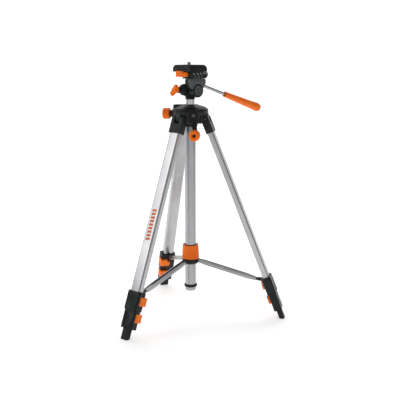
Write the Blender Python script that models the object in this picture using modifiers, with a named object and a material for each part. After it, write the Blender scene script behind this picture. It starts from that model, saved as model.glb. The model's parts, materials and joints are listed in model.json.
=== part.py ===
"""Folding three-section tripod with a geared centre column and a pan and tilt head.

Units are metres, +Z is up, the floor is z = 0.  Every piece is drawn about the column axis and the whole
model is moved at the end so that the middle of its box stands over the origin.
"""
import math
import bpy
import bmesh
from mathutils import Matrix, Vector

# ----------------------------------------------------------------------------------------------------------
# Driving dimensions
# ----------------------------------------------------------------------------------------------------------
GAP = 0.0003                       # play between neighbouring pieces
SHIFT = Vector((0.0, 0.0051684, 0.0))    # column axis, measured from the middle of the model's box

LEG_AZIMUTHS = (270.0, 30.0, 150.0)
SPLAY = 21.5                       # leg angle from the vertical, legs open
FOLD = 18.5                        # how far a leg folds in
LEG_PIVOT_R = 0.0297
LEG_PIVOT_Z = 0.3815

UPPER_W, UPPER_T, UPPER_WALL = 0.0225, 0.0118, 0.0012
MIDDLE_W, MIDDLE_T, MIDDLE_WALL = 0.0193, 0.0086, 0.0010
LOWER_W, LOWER_T = 0.0165, 0.0058
S_CASTING = 0.0274                 # stations along the leg, measured from the leg pivot
S_COLLAR_1 = 0.3230
S_COLLAR_1_END = 0.3585
S_COLLAR_2 = 0.3589
S_COLLAR_2_END = 0.3910
S_FOOT = 0.3915

BRACE_SLOPE = 0.2735               # fall of a brace for each metre outwards
BRACE_LINE_Z = 0.1105              # height where the line of a brace meets the column axis
HUB_PIVOT_R = 0.0158
BRACE_PIVOT_N = -0.0223            # brace pivot, square to the leg's centre line
BRACE_W, BRACE_H, BRACE_END, BRACE_WALL = 0.0090, 0.0076, 0.0056, 0.0012

TUBE_R, TUBE_IN_R = 0.0105, 0.0088
TUBE_TOP, TUBE_BOTTOM = 0.3785, 0.0480
COLUMN_R, COLUMN_IN_R = 0.0085, 0.0073
COLUMN_TOP, COLUMN_BOTTOM = 0.4170, 0.0600
SHOULDER_TOP, SHOULDER_EDGE = 0.4075, 0.3975
HAT_BOTTOM, CORE_BOTTOM = 0.3895, 0.3735
HAT_R, CORE_R, SOCKET_R, SOCKET_BOTTOM = 0.0340, 0.0200, 0.0140, 0.3665

MODULE = 0.001                     # rack and pinion
PINION_TEETH = 13
PINION_R = MODULE * PINION_TEETH / 2
RACK_PITCH_R = 0.0073
CRANK_AZIMUTH = 300.0
CRANK_OFFSET = RACK_PITCH_R + PINION_R
CRANK_Z = 0.3900
RACK_Z0, RACK_Z1 = 0.1830, 0.3965
CRANK_DROP, CRANK_LEAN = 0.0340, 0.0054
SKIRT_R, LEG_CLEAR = 0.0322, 0.0137        # webs under the hat, and their clearance each side of a leg's plane    # knob below the shaft, and to one side of it

LOCK_AZIMUTH = 210.0

HEAD_AZIMUTH = 83.25               # direction of the handle, seen from above
TILT_Z = 0.4335
HANDLE_U = 0.0120
HANDLE_SLOPE = 17.85
NECK_Z = 0.4178


# ----------------------------------------------------------------------------------------------------------
# Small tools
# ----------------------------------------------------------------------------------------------------------
for old in list(bpy.data.objects):
    bpy.data.objects.remove(old, do_unlink=True)

PARTS = bpy.data.collections.new("laser_level_tripod")
CUTTERS = bpy.data.collections.new("cutters")
bpy.context.scene.collection.children.link(PARTS)
bpy.context.scene.collection.children.link(CUTTERS)


def material(name, colour, roughness, metallic=0.0):
    mat = bpy.data.materials.new(name)
    mat.use_nodes = True
    bsdf = mat.node_tree.nodes["Principled BSDF"]
    bsdf.inputs["Base Color"].default_value = (*colour, 1.0)
    bsdf.inputs["Roughness"].default_value = roughness
    bsdf.inputs["Metallic"].default_value = metallic
    return mat


COLOURS = {
    "black": ((0.020, 0.023, 0.025), 0.45, 0.0),
    "grey": ((0.105, 0.110, 0.112), 0.50, 0.0),
    "orange": ((0.860, 0.150, 0.020), 0.42, 0.0),
    "aluminium": ((0.720, 0.725, 0.730), 0.32, 1.0),
    "steel": ((0.600, 0.600, 0.600), 0.25, 1.0),
    "chrome": ((0.800, 0.800, 0.810), 0.08, 1.0),
    "rubber": ((0.015, 0.015, 0.015), 0.80, 0.0),
}


def frame(origin, x_axis, z_axis):
    """Placement whose z runs along z_axis and whose x lies as near x_axis as it can."""
    z = Vector(z_axis).normalized()
    y = z.cross(Vector(x_axis)).normalized()
    x = y.cross(z)
    m = Matrix((x, y, z)).transposed().to_4x4()
    m.translation = Vector(origin)
    return m


def polar(azimuth, radius=1.0, z=0.0):
    a = math.radians(azimuth)
    return Vector((radius * math.cos(a), radius * math.sin(a), z))


def link(name, mesh, placement, collection=None):
    obj = bpy.data.objects.new(name, mesh)
    (collection or CUTTERS).objects.link(obj)
    obj.matrix_world = placement
    if collection is None or collection is CUTTERS:
        obj.hide_render = True
        obj.display_type = "WIRE"
    return obj


def settle(obj):
    """Apply the object's modifiers, weld its caps and turn its faces out."""
    bpy.context.view_layer.update()
    deps = bpy.context.evaluated_depsgraph_get()
    mesh = bpy.data.meshes.new_from_object(obj.evaluated_get(deps))
    bm = bmesh.new()
    bm.from_mesh(mesh)
    bmesh.ops.remove_doubles(bm, verts=bm.verts, dist=1e-6)
    bmesh.ops.recalc_face_normals(bm, faces=bm.faces)
    bm.to_mesh(mesh)
    bm.free()
    if obj.type == "MESH":
        obj.modifiers.clear()
        obj.data = mesh
        return obj
    new = link(obj.name + "_mesh", mesh, obj.matrix_world.copy())
    bpy.data.objects.remove(obj, do_unlink=True)
    return new


def block(size, centre=(0, 0, 0), place=None, bevel=0.0):
    """A box of the given size about a centre, in the placement's own axes."""
    bm = bmesh.new()
    bmesh.ops.create_cube(bm, size=1.0)
    for v in bm.verts:
        v.co = Vector((v.co.x * size[0] + centre[0], v.co.y * size[1] + centre[1], v.co.z * size[2] + centre[2]))
    mesh = bpy.data.meshes.new("block")
    bm.to_mesh(mesh)
    bm.free()
    obj = link("block", mesh, place or Matrix())
    if bevel:
        mod = obj.modifiers.new("edge", "BEVEL")
        mod.width = bevel
        mod.segments = 1
        settle(obj)
    return obj


def turned(profile, place=None, steps=20):
    """Screw a profile of (radius, z) points, given top to bottom down its outer side, about local z."""
    closed = profile[0][0] > 1e-7
    bm = bmesh.new()
    verts = [bm.verts.new((r, 0.0, z)) for r, z in profile]
    for a, b in zip(verts, verts[1:]):
        bm.edges.new((a, b))
    if closed:
        bm.edges.new((verts[-1], verts[0]))
    mesh = bpy.data.meshes.new("turned")
    bm.to_mesh(mesh)
    bm.free()
    obj = link("turned", mesh, place or Matrix())
    mod = obj.modifiers.new("turn", "SCREW")
    mod.axis = "Z"
    mod.steps = mod.render_steps = steps
    mod.use_merge_vertices = True
    mod.merge_threshold = 0.000001
    return settle(obj)


def rod(radius, z0, z1, place=None, steps=20, chamfer=0.0):
    c = chamfer
    if c:
        prof = [(0, z1), (radius - c, z1), (radius, z1 - c), (radius, z0 + c), (radius - c, z0), (0, z0)]
    else:
        prof = [(0, z1), (radius, z1), (radius, z0), (0, z0)]
    return turned(prof, place, steps)


def ring(r_in, r_out, z0, z1, place=None, steps=20):
    return turned([(r_out, z1), (r_out, z0), (r_in, z0), (r_in, z1)], place, steps)


def flat(loops, z0, z1, place=None):
    """A flat outline with holes, drawn in local x and y and standing from z0 to z1."""
    curve = bpy.data.curves.new("flat", "CURVE")
    curve.dimensions = "2D"
    curve.fill_mode = "BOTH"
    curve.extrude = (z1 - z0) / 2
    for loop in loops:
        spline = curve.splines.new("POLY")
        spline.points.add(len(loop) - 1)
        for p, (x, y) in zip(spline.points, loop):
            p.co = (x, y, 0.0, 1.0)
        spline.use_cyclic_u = True
    base = place or Matrix()
    obj = link("flat", curve, base @ Matrix.Translation((0, 0, (z0 + z1) / 2)))
    return settle(obj)


def frustum(low, high, z0, z1, z2, place):
    """An upright block on the outline low from z0 to z1, drawn in to the outline high at z2."""
    bm = bmesh.new()
    rows = [[bm.verts.new((x, y, z)) for x, y in loop] for loop, z in ((low, z0), (low, z1), (high, z2))]
    for a, b in zip(rows, rows[1:]):
        for i in range(len(a)):
            j = (i + 1) % len(a)
            bm.faces.new((a[i], a[j], b[j], b[i]))
    bm.faces.new(list(reversed(rows[0])))
    bm.faces.new(rows[-1])
    mesh = bpy.data.meshes.new("frustum")
    bm.to_mesh(mesh)
    bm.free()
    return link("frustum", mesh, place)


def arc(cx, cy, r, a0, a1, n):
    out = []
    for i in range(n + 1):
        a = math.radians(a0 + (a1 - a0) * i / n)
        out.append((cx + r * math.cos(a), cy + r * math.sin(a)))
    return out


def rounded(x0, x1, y0, y1, r, n=3):
    return (arc(x1 - r, y1 - r, r, 0, 90, n) + arc(x0 + r, y1 - r, r, 90, 180, n)
            + arc(x0 + r, y0 + r, r, 180, 270, n) + arc(x1 - r, y0 + r, r, 270, 360, n))


def combine(base, others, how):
    for other in others:
        mod = base.modifiers.new("join", "BOOLEAN")
        mod.operation = how
        mod.solver = "EXACT"
        mod.object = other
        settle(base)
        bpy.data.objects.remove(other, do_unlink=True)
    return base


def join(base, *others):
    return combine(base, others, "UNION")


def cut(base, *others):
    return combine(base, others, "DIFFERENCE")


def keep(base, *others):
    return combine(base, others, "INTERSECT")


PIVOTS = {}


def pivot(body, place):
    """An empty on a moving body's joint axis."""
    empty = bpy.data.objects.new("pivot_" + body, None)
    empty.empty_display_size = 0.01
    PARTS.objects.link(empty)
    empty.matrix_world = place
    PIVOTS[body] = empty
    return empty


def node(name, obj, colour, body=None, origin=None):
    """Name a finished piece, give it its own material and hang it on its body's pivot."""
    mesh = obj.data
    mesh.transform(obj.matrix_world)
    place = PIVOTS[body].matrix_world.copy() if body else Matrix()
    if origin is not None:
        place = Matrix.Translation(origin)
    mesh.transform(place.inverted())
    piece = bpy.data.objects.new(name, mesh)
    mesh.name = name
    PARTS.objects.link(piece)
    piece.matrix_world = place
    bpy.data.objects.remove(obj, do_unlink=True)
    c, r, m = COLOURS[colour]
    mesh.materials.clear()
    mesh.materials.append(material(name, c, r, m))
    mesh.shade_smooth()
    mesh.set_sharp_from_angle(angle=math.radians(35))
    if body:
        bpy.context.view_layer.update()
        piece.parent = PIVOTS[body]
        piece.matrix_parent_inverse = PIVOTS[body].matrix_world.inverted()
        piece.matrix_world = place
    return piece


UP = Vector((0, 0, 1))
COS, SIN = math.cos(math.radians(SPLAY)), math.sin(math.radians(SPLAY))


def leg_frame(azimuth):
    """x across the leg, y square to it and outwards, z down along it, from the leg pivot."""
    e = polar(azimuth)
    across = polar(azimuth + 90)
    down = e * SIN - UP * COS
    return frame(polar(azimuth, LEG_PIVOT_R, LEG_PIVOT_Z), across, down)


def leg_rz(s, n):
    """Radius and height of the point at station s and square offset n on an open leg."""
    return LEG_PIVOT_R + s * SIN + n * COS, LEG_PIVOT_Z - s * COS + n * SIN


# where the line of a brace crosses the chosen offset from the leg
lo, hi = 0.25, 0.36
for _ in range(60):
    mid = (lo + hi) / 2
    r_, z_ = leg_rz(mid, BRACE_PIVOT_N)
    lo, hi = (mid, hi) if z_ > BRACE_LINE_Z - BRACE_SLOPE * r_ else (lo, mid)
BRACE_PIVOT_S = (lo + hi) / 2
HUB_PIVOT_Z = BRACE_LINE_Z - BRACE_SLOPE * HUB_PIVOT_R
q_r, q_z = leg_rz(BRACE_PIVOT_S, BRACE_PIVOT_N)
BRACE_LENGTH = math.hypot(q_r - HUB_PIVOT_R, q_z - HUB_PIVOT_Z)
BRACE_ANGLE = math.atan2(HUB_PIVOT_Z - q_z, q_r - HUB_PIVOT_R)

# ----------------------------------------------------------------------------------------------------------
# Shoulder and centre tube (fixed)
# ----------------------------------------------------------------------------------------------------------
crank_dir = polar(CRANK_AZIMUTH)
crank_off = polar(CRANK_AZIMUTH + 90)
crank_axis = crank_off * CRANK_OFFSET + UP * CRANK_Z
CRANK = frame(crank_axis, UP, crank_dir)            # x up, z out along the crank shaft
lock_dir = polar(LOCK_AZIMUTH)
LOCK = frame(UP * CRANK_Z, UP, lock_dir)            # x up, z out along the clamp screw

shoulder = turned([(0, SHOULDER_TOP), (0.0145, SHOULDER_TOP), (0.0270, 0.4035), (0.0325, 0.4000), (HAT_R, 0.3972),
                   (HAT_R, HAT_BOTTOM), (CORE_R, HAT_BOTTOM), (CORE_R, CORE_BOTTOM), (SOCKET_R, CORE_BOTTOM),
                   (SOCKET_R, SOCKET_BOTTOM), (0, SOCKET_BOTTOM)], steps=26)
join(shoulder, block((0.0250, 0.0220, 0.0310), (0, 0, 0.0150), LOCK @ Matrix.Translation((0.0050, 0, 0)), 0.002))
# webs that fill the hat between the legs
webs = turned([(0, HAT_BOTTOM + 0.0010), (SKIRT_R, HAT_BOTTOM + 0.0010), (SKIRT_R, 0.3760), (SKIRT_R - 0.0025, CORE_BOTTOM),
               (0, CORE_BOTTOM)], None, 26)
for az in LEG_AZIMUTHS:
    cut(webs, block((0.0400, 2 * LEG_CLEAR, 0.0400), (0.0155 + 0.0200, 0, 0.3800), frame((0, 0, 0), polar(az), UP)))
join(shoulder, webs)
join(shoulder, rod(0.0065, 0.028, 0.0377, LOCK, 16))
join(shoulder, rod(0.0088, 0.0150, 0.0312, CRANK, 20))
TONGUE_T = 0.0050
for az in LEG_AZIMUTHS:
    # tongue profile in radius and height, drawn in a frame whose z runs across the leg
    place = frame((0, 0, 0), polar(az), -polar(az + 90))
    outline = ([(0.0120, HAT_BOTTOM + 0.002), (0.0120, CORE_BOTTOM + 0.0005), (0.0200, CORE_BOTTOM + 0.0015)]
               + arc(LEG_PIVOT_R, LEG_PIVOT_Z, 0.0064, -90, 0, 5)
               + [(LEG_PIVOT_R + 0.0064 - 0.0022, HAT_BOTTOM + 0.002)])
    join(shoulder, flat([outline], -TONGUE_T, TONGUE_T, place))
cut(shoulder, rod(TUBE_R + GAP, SOCKET_BOTTOM - 0.01, TUBE_TOP + 0.0006, None, 24))
cut(shoulder, rod(COLUMN_R + GAP, TUBE_TOP - 0.01, SHOULDER_TOP + 0.01, None, 24))
cut(shoulder, rod(0.0120 + GAP, 0.4005, SHOULDER_TOP + 0.01, None, 24))
cut(shoulder, rod(PINION_R + MODULE + 0.0003, -0.0028, 0.0028, CRANK, 24))
cut(shoulder, rod(0.0030 + GAP, -0.0075, 0.0400, CRANK, 16))
cut(shoulder, rod(0.0092, 0.0312, 0.0450, CRANK, 20))
cut(shoulder, rod(0.0027 + GAP, 0.0050, 0.0500, LOCK, 14))
for az in LEG_AZIMUTHS:
    L = leg_frame(az)
    across = frame(L.translation, UP, polar(az + 90))
    cut(shoulder, rod(0.0018 + GAP, -0.0150, 0.0150, across, 14))
node("shoulder_casting", shoulder, "black")

node("shoulder_collar", ring(COLUMN_R + GAP, 0.0120, 0.4008, SHOULDER_TOP + 0.0004, None, 24), "black")

cover = turned([(0.0070, 0.0330), (0.0088, 0.0322), (0.0088, 0.0315), (0.0030 + GAP, 0.0315),
                (0.0030 + GAP, 0.0330)], CRANK, 20)
node("crank_housing_cover", cover, "black")

for i, az in enumerate(LEG_AZIMUTHS, 1):
    across = frame(leg_frame(az).translation, UP, polar(az + 90))
    node("leg_%d_hinge_pin" % i, rod(0.0018, -0.0124, 0.0124, across, 12, 0.0003), "steel")

tube = turned([(TUBE_R, TUBE_TOP), (TUBE_R, TUBE_BOTTOM + 0.0001), (TUBE_IN_R, TUBE_BOTTOM + 0.0001),
               (TUBE_IN_R, TUBE_TOP)], None, 24)
node("center_tube", tube, "aluminium")
node("tube_stop_ring", turned([(0.0122, 0.0584), (0.0126, 0.0572), (0.0126, 0.0546), (0.0122, 0.0534),
                               (TUBE_R + GAP, 0.0534), (TUBE_R + GAP, 0.0584)], None, 24), "black")
cap = turned([(0, 0.0545), (TUBE_IN_R - GAP, 0.0545), (TUBE_IN_R - GAP, TUBE_BOTTOM - GAP),
              (TUBE_R, TUBE_BOTTOM - GAP), (0.0100, 0.0464), (0.0088, 0.0458), (0, 0.0458)], None, 24)
cut(cap, rod(0.0070, 0.0475, 0.0600, None, 20))
node("tube_end_cap", cap, "aluminium")

# ----------------------------------------------------------------------------------------------------------
# Geared column
# ----------------------------------------------------------------------------------------------------------
pivot("column", Matrix())
column = turned([(COLUMN_R, COLUMN_TOP), (COLUMN_R, COLUMN_BOTTOM), (COLUMN_IN_R, COLUMN_BOTTOM),
                 (COLUMN_IN_R, COLUMN_TOP)], None, 24)
rack_side = frame((0, 0, 0), UP, crank_dir)   # x up, z towards the crank
# rack frame: x up the column, y away from the crank's side, z across the teeth
cut(column, block((RACK_Z1 - RACK_Z0 + 0.0006, 0.0100, 0.0054),
                  ((RACK_Z0 + RACK_Z1) / 2, 0, 0),
                  frame(crank_off * 0.0100, UP, crank_dir)))
node("column_tube", column, "chrome", "column")


def rack_outline():
    """Side view of the rack: x up the column, y out towards the pinion."""
    pitch = math.pi * MODULE
    add, ded = 0.70 * MODULE, 1.15 * MODULE
    slope = math.tan(math.radians(20))
    thick = 0.42 * pitch
    pts = []
    first = math.ceil((RACK_Z0 + 0.0016 - CRANK_Z) / pitch)
    last = math.floor((RACK_Z1 - 0.0016 - CRANK_Z) / pitch)
    for k in range(first, last + 1):
        c = CRANK_Z + k * pitch
        pts += [(c - thick / 2 - ded * slope, RACK_PITCH_R - ded), (c - thick / 2 + add * slope, RACK_PITCH_R + add),
                (c + thick / 2 - add * slope, RACK_PITCH_R + add), (c + thick / 2 + ded * slope, RACK_PITCH_R - ded)]
    z0, z1 = RACK_Z0, RACK_Z1
    return [(z0, 0.0030), (z0, RACK_PITCH_R - ded)] + pts + [(z1, RACK_PITCH_R - ded), (z1, 0.0030)]


# outline plane: x up, y towards the pinion (azimuth of the offset), z across
RACK = frame((0, 0, 0), UP, UP.cross(crank_off))
rack = flat([rack_outline()], -0.0024, 0.0024, RACK)
node("column_rack", rack, "black", "column")

neck = turned([(0, 0.4285), (0.0046, 0.4285), (0.0050, 0.4281), (0.0050, 0.4176), (COLUMN_R, 0.4176),
               (COLUMN_R, COLUMN_TOP + GAP), (COLUMN_IN_R - GAP, COLUMN_TOP + GAP), (COLUMN_IN_R - GAP, 0.4020),
               (0, 0.4020)], None, 24)
node("head_neck", neck, "black", "column")

# ----------------------------------------------------------------------------------------------------------
# Crank
# ----------------------------------------------------------------------------------------------------------
pivot("crank", CRANK)


def gear_outline():
    """Pinion seen along its shaft, one space pointing at the rack when the column is down."""
    teeth, m = PINION_TEETH, MODULE
    rp = PINION_R
    rb = rp * math.cos(math.radians(20))
    ra, rf = rp + 0.90 * m, rp - 1.20 * m
    inv = math.tan(math.radians(20)) - math.radians(20)
    half = math.radians(90.0 / teeth) - 0.00012 / rp
    pts = []
    for k in range(teeth):
        mid = 2 * math.pi * (k + 0.5) / teeth + math.pi
        flank = []
        for i in range(4):
            r = max(rb, rf) + (ra - max(rb, rf)) * i / 3
            t = math.sqrt(max(r * r / (rb * rb) - 1, 0.0))
            flank.append((r, half + inv - (t - math.atan(t))))
        root = half + inv
        pts += [(rf, mid - root)] + [(r, mid - a) for r, a in flank]
        pts += [(r, mid + a) for r, a in reversed(flank)] + [(rf, mid + root)]
    return [(r * math.cos(a), r * math.sin(a)) for r, a in pts]


# gear plane: x points away from the rack, so a tooth space faces the rack's tooth
GEAR = frame(crank_axis, crank_off, crank_dir)
shaft = flat([gear_outline()], -0.0023, 0.0023, GEAR)
join(shaft, rod(0.0030, -0.0070, 0.0386, CRANK, 14))
node("crank_shaft", shaft, "steel", "crank")

# the arm is dished outwards so that it and its knob swing round clear of the legs
ARM = CRANK @ Matrix.Rotation(math.atan2(CRANK_LEAN, CRANK_DROP), 4, "Z")
ARM_LENGTH = math.hypot(CRANK_DROP, CRANK_LEAN)
dish = [(0.0054, 0.0340), (-0.0050, 0.0340), (-0.0225, 0.0468), (-0.0390, 0.0468), (-0.0390, 0.0504),
        (-0.0212, 0.0504), (-0.0044, 0.0384), (0.0054, 0.0384)]
arm = flat([dish], -0.0060, 0.0060, ARM @ frame((0, 0, 0), (1, 0, 0), (0, -1, 0)))
keep(arm, flat([arc(0, 0, 0.0052, -60, 60, 4) + arc(-ARM_LENGTH, 0, 0.0042, 120, 240, 4)], 0.0300, 0.0560, ARM))
cut(arm, rod(0.0030 + GAP, 0.0300, 0.0450, CRANK, 14))
PIN = CRANK @ Matrix.Translation((-CRANK_DROP, -CRANK_LEAN, 0))
join(arm, rod(0.0022, 0.0490, 0.0641, PIN, 12))
node("crank_arm", arm, "black", "crank")

pivot("crank_knob", PIN)
knob = turned([(0.0078, 0.0666), (0.0093, 0.0654), (0.0100, 0.0611), (0.0100, 0.0531), (0.0092, 0.0513),
               (0.0080, 0.0508), (0.0022 + GAP, 0.0508), (0.0022 + GAP, 0.0601), (0.0034, 0.0601),
               (0.0034, 0.0666)], PIN, 20)
node("crank_knob", knob, "orange", "crank_knob")

pivot("column_lock_knob", LOCK)
lock = turned([(0, 0.0518), (0.0085, 0.0518), (0.0100, 0.0506), (0.0103, 0.0488), (0.0103, 0.0397), (0.0095, 0.0382),
               (0.0027, 0.0382), (0.0027, 0.0089), (0, 0.0089)], LOCK, 20)
node("column_lock_knob", lock, "orange", "column_lock_knob")

# ----------------------------------------------------------------------------------------------------------
# Head.  u is the tilt axis, v points along the handle.
# ----------------------------------------------------------------------------------------------------------
U = polar(HEAD_AZIMUTH - 90)
V = polar(HEAD_AZIMUTH)
HEAD = frame((0, 0, 0), U, UP)                       # x = u, y = v, z = up
TILT = frame(UP * TILT_Z, V, U)                      # x = v, z = u  (y = up)


pivot("pan", Matrix.Translation((0, 0, NECK_Z)))
post = turned([(0, 0.4330), (0.0110, 0.4330), (0.0115, 0.4235), (0.0088, 0.4215), (0.0088, NECK_Z + 0.0001),
               (0, NECK_Z + 0.0001)], None, 22)
join(post, rod(0.0105, -0.0120, 0.0062, TILT, 22))
LOCKV = frame(UP * 0.4350, UP, -V)                   # x up, z out on the side away from the handle
join(post, turned([(0, 0.0245), (0.0048, 0.0245), (0.0095, 0.0202), (0.0107, 0.0155), (0.0107, -0.0020), (0, -0.0020)],
                  LOCKV, 24))
cut(post, block((0.0400, 0.0900, 0.0400), (0.0200 + 0.0062, 0, 0.0200 + 0.4206), HEAD))
cut(post, rod(0.0050 + GAP, 0.4100, 0.4289, None, 20))
cut(post, rod(0.0030 + GAP, -0.0300, 0.0300, TILT, 16))
cut(post, rod(0.0025 + GAP, 0.0050, 0.0400, LOCKV, 14))
node("pan_base", post, "black", "pan")

pivot("pan_lock_knob", LOCKV)
wing = turned([(0, 0.0425), (0.0040, 0.0425), (0.0050, 0.0410), (0.0050, 0.0325), (0.0045, 0.0315), (0.0045, 0.0249),
               (0.0025, 0.0249), (0.0025, 0.0060), (0, 0.0060)], LOCKV, 16)
WING_ANGLE = -40.0
for side in (0, 180):
    w = frame(LOCKV.translation, UP, -V) @ Matrix.Rotation(math.radians(WING_ANGLE + side), 4, "Z")
    lobe = [(0.0020, 0.0335), (0.0080, 0.0350), (0.0110, 0.0365), (0.0118, 0.0395), (0.0105, 0.0425),
            (0.0070, 0.0432), (0.0020, 0.0424)]
    p = w @ frame((0, 0, 0), (1, 0, 0), (0, -1, 0))
    join(wing, flat([[(x, z) for x, z in lobe]], -0.0022, 0.0022, p))
node("pan_lock_knob", wing, "orange", "pan_lock_knob")

pivot("tilt", TILT)
axle = rod(0.0030, -0.0118, 0.0205, TILT, 16)
join(axle, rod(0.0060, 0.0190, 0.0205, TILT, 16))
node("tilt_axle", axle, "steel", "tilt")

# grey bracket: a broad block under the platform that narrows down to a drum about the tilt axle
side_view = ([(-0.0185, 0.0215), (-0.0190, 0.0145)] + [(-0.0165, 0.0085)]
             + arc(0, 0, 0.0123, 165, 375, 14) + [(0.0165, 0.0085), (0.0190, 0.0145), (0.0185, 0.0215)])
bracket = flat([side_view], 0.0066, 0.0222, TILT)
HANDLE_DIR = (V * math.cos(math.radians(HANDLE_SLOPE)) - UP * math.sin(math.radians(HANDLE_SLOPE)))
handle_at = U * HANDLE_U + V * 0.0244 + UP * 0.4409
HANDLE = frame(handle_at, U, HANDLE_DIR)             # z out along the handle
cut(bracket, rod(0.0030 + GAP, 0.0000, 0.0300, TILT, 16))
cut(bracket, rod(0.0095, 0.0187, 0.0300, TILT, 22))
cut(bracket, rod(0.0030 + GAP, -0.0200, 0.0200, HANDLE, 14))
node("tilt_body", bracket, "grey", "tilt")
disc = turned([(0, 0.0233), (0.0078, 0.0233), (0.0092, 0.0227), (0.0092, 0.0208), (0, 0.0208)], TILT, 24)
node("tilt_cover", disc, "grey", "tilt")

# platform: a tray towards +u, slimmer on the clamp's side, with ribs on its outer face
tray = block((0.0365, 0.0385, 0.0115), (0.00545, 0.00205, 0.46105), HEAD, 0.0015)
join(tray, block((0.0100, 0.0375, 0.0030), (0.0185, 0.00225, 0.4655), HEAD))
# the half away from the bracket is a thinner shelf
cut(tray, block((0.0300, 0.0600, 0.0200), (0.0068 - 0.0150, 0, 0.4592 - 0.0100), HEAD))
pocket = [(-0.0095, -0.0125), (0.0195, -0.0125), (0.0195, 0.0135), (-0.0095, 0.0135)]
cut(tray, flat([pocket], 0.4625, 0.4700, HEAD))
LEVER_PIVOT = HEAD @ Matrix.Translation((0.0085, -0.0190, 0.0))
cut(tray, rod(0.0061, 0.4585, 0.4705, LEVER_PIVOT, 18))
lobe = rod(0.0054, 0.4556, 0.4582, LEVER_PIVOT, 18)
join(lobe, rod(0.0015, 0.4570, 0.4662, LEVER_PIVOT, 12))
join(tray, lobe)
node("platform", tray, "black", "tilt")

pivot("release_lever", Matrix.Translation(LEVER_PIVOT.translation + UP * 0.4645))
lever = rod(0.0056, 0.4590, 0.4667, LEVER_PIVOT, 18)
lever_plan = [(0.0090, -0.0246), (0.0080, -0.0272), (-0.0088, -0.0272), (-0.0106, -0.0256), (-0.0106, -0.0205),
              (-0.0092, -0.0180), (0.0030, -0.0180)]
join(lever, flat([lever_plan], 0.4592, 0.4665, HEAD))
thumb = [(0.0066, -0.0217), (0.0066, -0.0256), (0.0056, -0.0270), (-0.0086, -0.0270), (-0.0104, -0.0254),
         (-0.0104, -0.0217)]
join(lever, flat([thumb], 0.4585, 0.4692, HEAD))
cut(lever, rod(0.0018, 0.4550, 0.4740, LEVER_PIVOT, 12))
node("release_lever", lever, "orange", "release_lever")

plate_place = HEAD @ Matrix.Translation((0, 0, 0))
pivot("plate", Matrix.Translation(UP * 0.4672))
plate = frustum(rounded(-0.0266, 0.0245, -0.0213, 0.0226, 0.0036), rounded(-0.0232, 0.0222, -0.0205, 0.0205, 0.0030),
                0.4674, 0.4746, 0.4784, HEAD)
foot_in = flat([[(-0.0091, -0.0121), (0.0191, -0.0121), (0.0191, 0.0131), (-0.0091, 0.0131)]], 0.4629, 0.4690, HEAD)
join(plate, foot_in)
SCREW = HEAD @ Matrix.Translation((0.0, -0.0026, 0.0))
cut(plate, rod(0.0034, 0.4500, 0.4900, SCREW, 16))
cut(plate, rod(0.0092, 0.4600, 0.4662, SCREW, 20))
node("quick_release_plate", plate, "black", "plate")
pad = flat([rounded(-0.0221, 0.0211, -0.0194, 0.0194, 0.0024)], 0.4787, 0.4800, HEAD)
cut(pad, rod(0.0050, 0.4600, 0.4900, SCREW, 18))
node("plate_pad", pad, "rubber", "plate")

pivot("camera_screw", SCREW @ Matrix.Translation((0, 0, 0.4650)))
bolt = turned([(0, 0.4855), (0.0026, 0.4855), (0.0031, 0.4848), (0.0031, 0.4659), (0.0086, 0.4659),
               (0.0088, 0.4655), (0.0088, 0.4637), (0.0086, 0.4632), (0, 0.4632)], SCREW, 16)
node("camera_screw", bolt, "steel", "camera_screw")

# handle
pivot("handle", HANDLE)
node("handle_rod", rod(0.0030, -0.0190, 0.0700, HANDLE, 16), "chrome", "handle")
grip = turned([(0, 0.1600), (0.0040, 0.1594), (0.0070, 0.1576), (0.0083, 0.1545), (0.0085, 0.1500), (0.0078, 0.1380),
               (0.0055, 0.0600), (0.0051, 0.0565), (0.0045, 0.0558), (0.0030 + GAP, 0.0558),
               (0.0030 + GAP, 0.0703), (0, 0.0703)], HANDLE, 20)
node("handle_grip", grip, "orange", "handle")

# ----------------------------------------------------------------------------------------------------------
# Spreader
# ----------------------------------------------------------------------------------------------------------
pivot("hub", Matrix.Translation((0, 0, HUB_PIVOT_Z)))
hub = turned([(0.0163, 0.1104), (0.0163, 0.1032), (0.0148, 0.1014), (0.0120, 0.1014), (0.0120, 0.1000),
              (TUBE_R + GAP, 0.1000), (TUBE_R + GAP, 0.1104)], None, 24)
for az in LEG_AZIMUTHS:
    cut(hub, block((0.0200, 0.0113, 0.0200), (0.0121 + 0.0100, 0, 0.1093 - 0.0100), frame((0, 0, 0), polar(az), UP)))
LUG_T = 0.0029
for az in LEG_AZIMUTHS:
    place = frame((0, 0, 0), polar(az), -polar(az + 90))
    outline = ([(0.0115, 0.1099), (0.0115, HUB_PIVOT_Z - 0.0024)]
               + arc(HUB_PIVOT_R, HUB_PIVOT_Z, 0.0024, -90, 60, 5) + [(0.0155, 0.1099)])
    lug = flat([outline], -LUG_T, LUG_T, place)
    # moulded trunnions that the braces snap over
    join(lug, rod(0.0012, -0.0051, 0.0051, frame(polar(az, HUB_PIVOT_R, HUB_PIVOT_Z), UP, polar(az + 90)), 8))
    join(hub, lug)
node("brace_hub", hub, "black", "hub")

pivot("hub_lock_nut", Matrix.Translation((0, 0, 0.1240)))
ribs = []
for k in range(40):
    a = 360.0 * k / 40
    ribs.append((1.0 if k % 2 else 0.965, a))


def ribbed(r0, r1, z0, z1):
    """A ribbed cone frustum lofted between two ribbed outlines."""
    bm = bmesh.new()
    low = [bm.verts.new(polar(a, r0 * f, z0)) for f, a in ribs]
    high = [bm.verts.new(polar(a, r1 * f, z1)) for f, a in ribs]
    for i in range(len(ribs)):
        j = (i + 1) % len(ribs)
        bm.faces.new((low[i], low[j], high[j], high[i]))
    bm.faces.new(list(reversed(low)))
    bm.faces.new(high)
    mesh = bpy.data.meshes.new("ribbed")
    bm.to_mesh(mesh)
    bm.free()
    return link("ribbed", mesh, Matrix())


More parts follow.
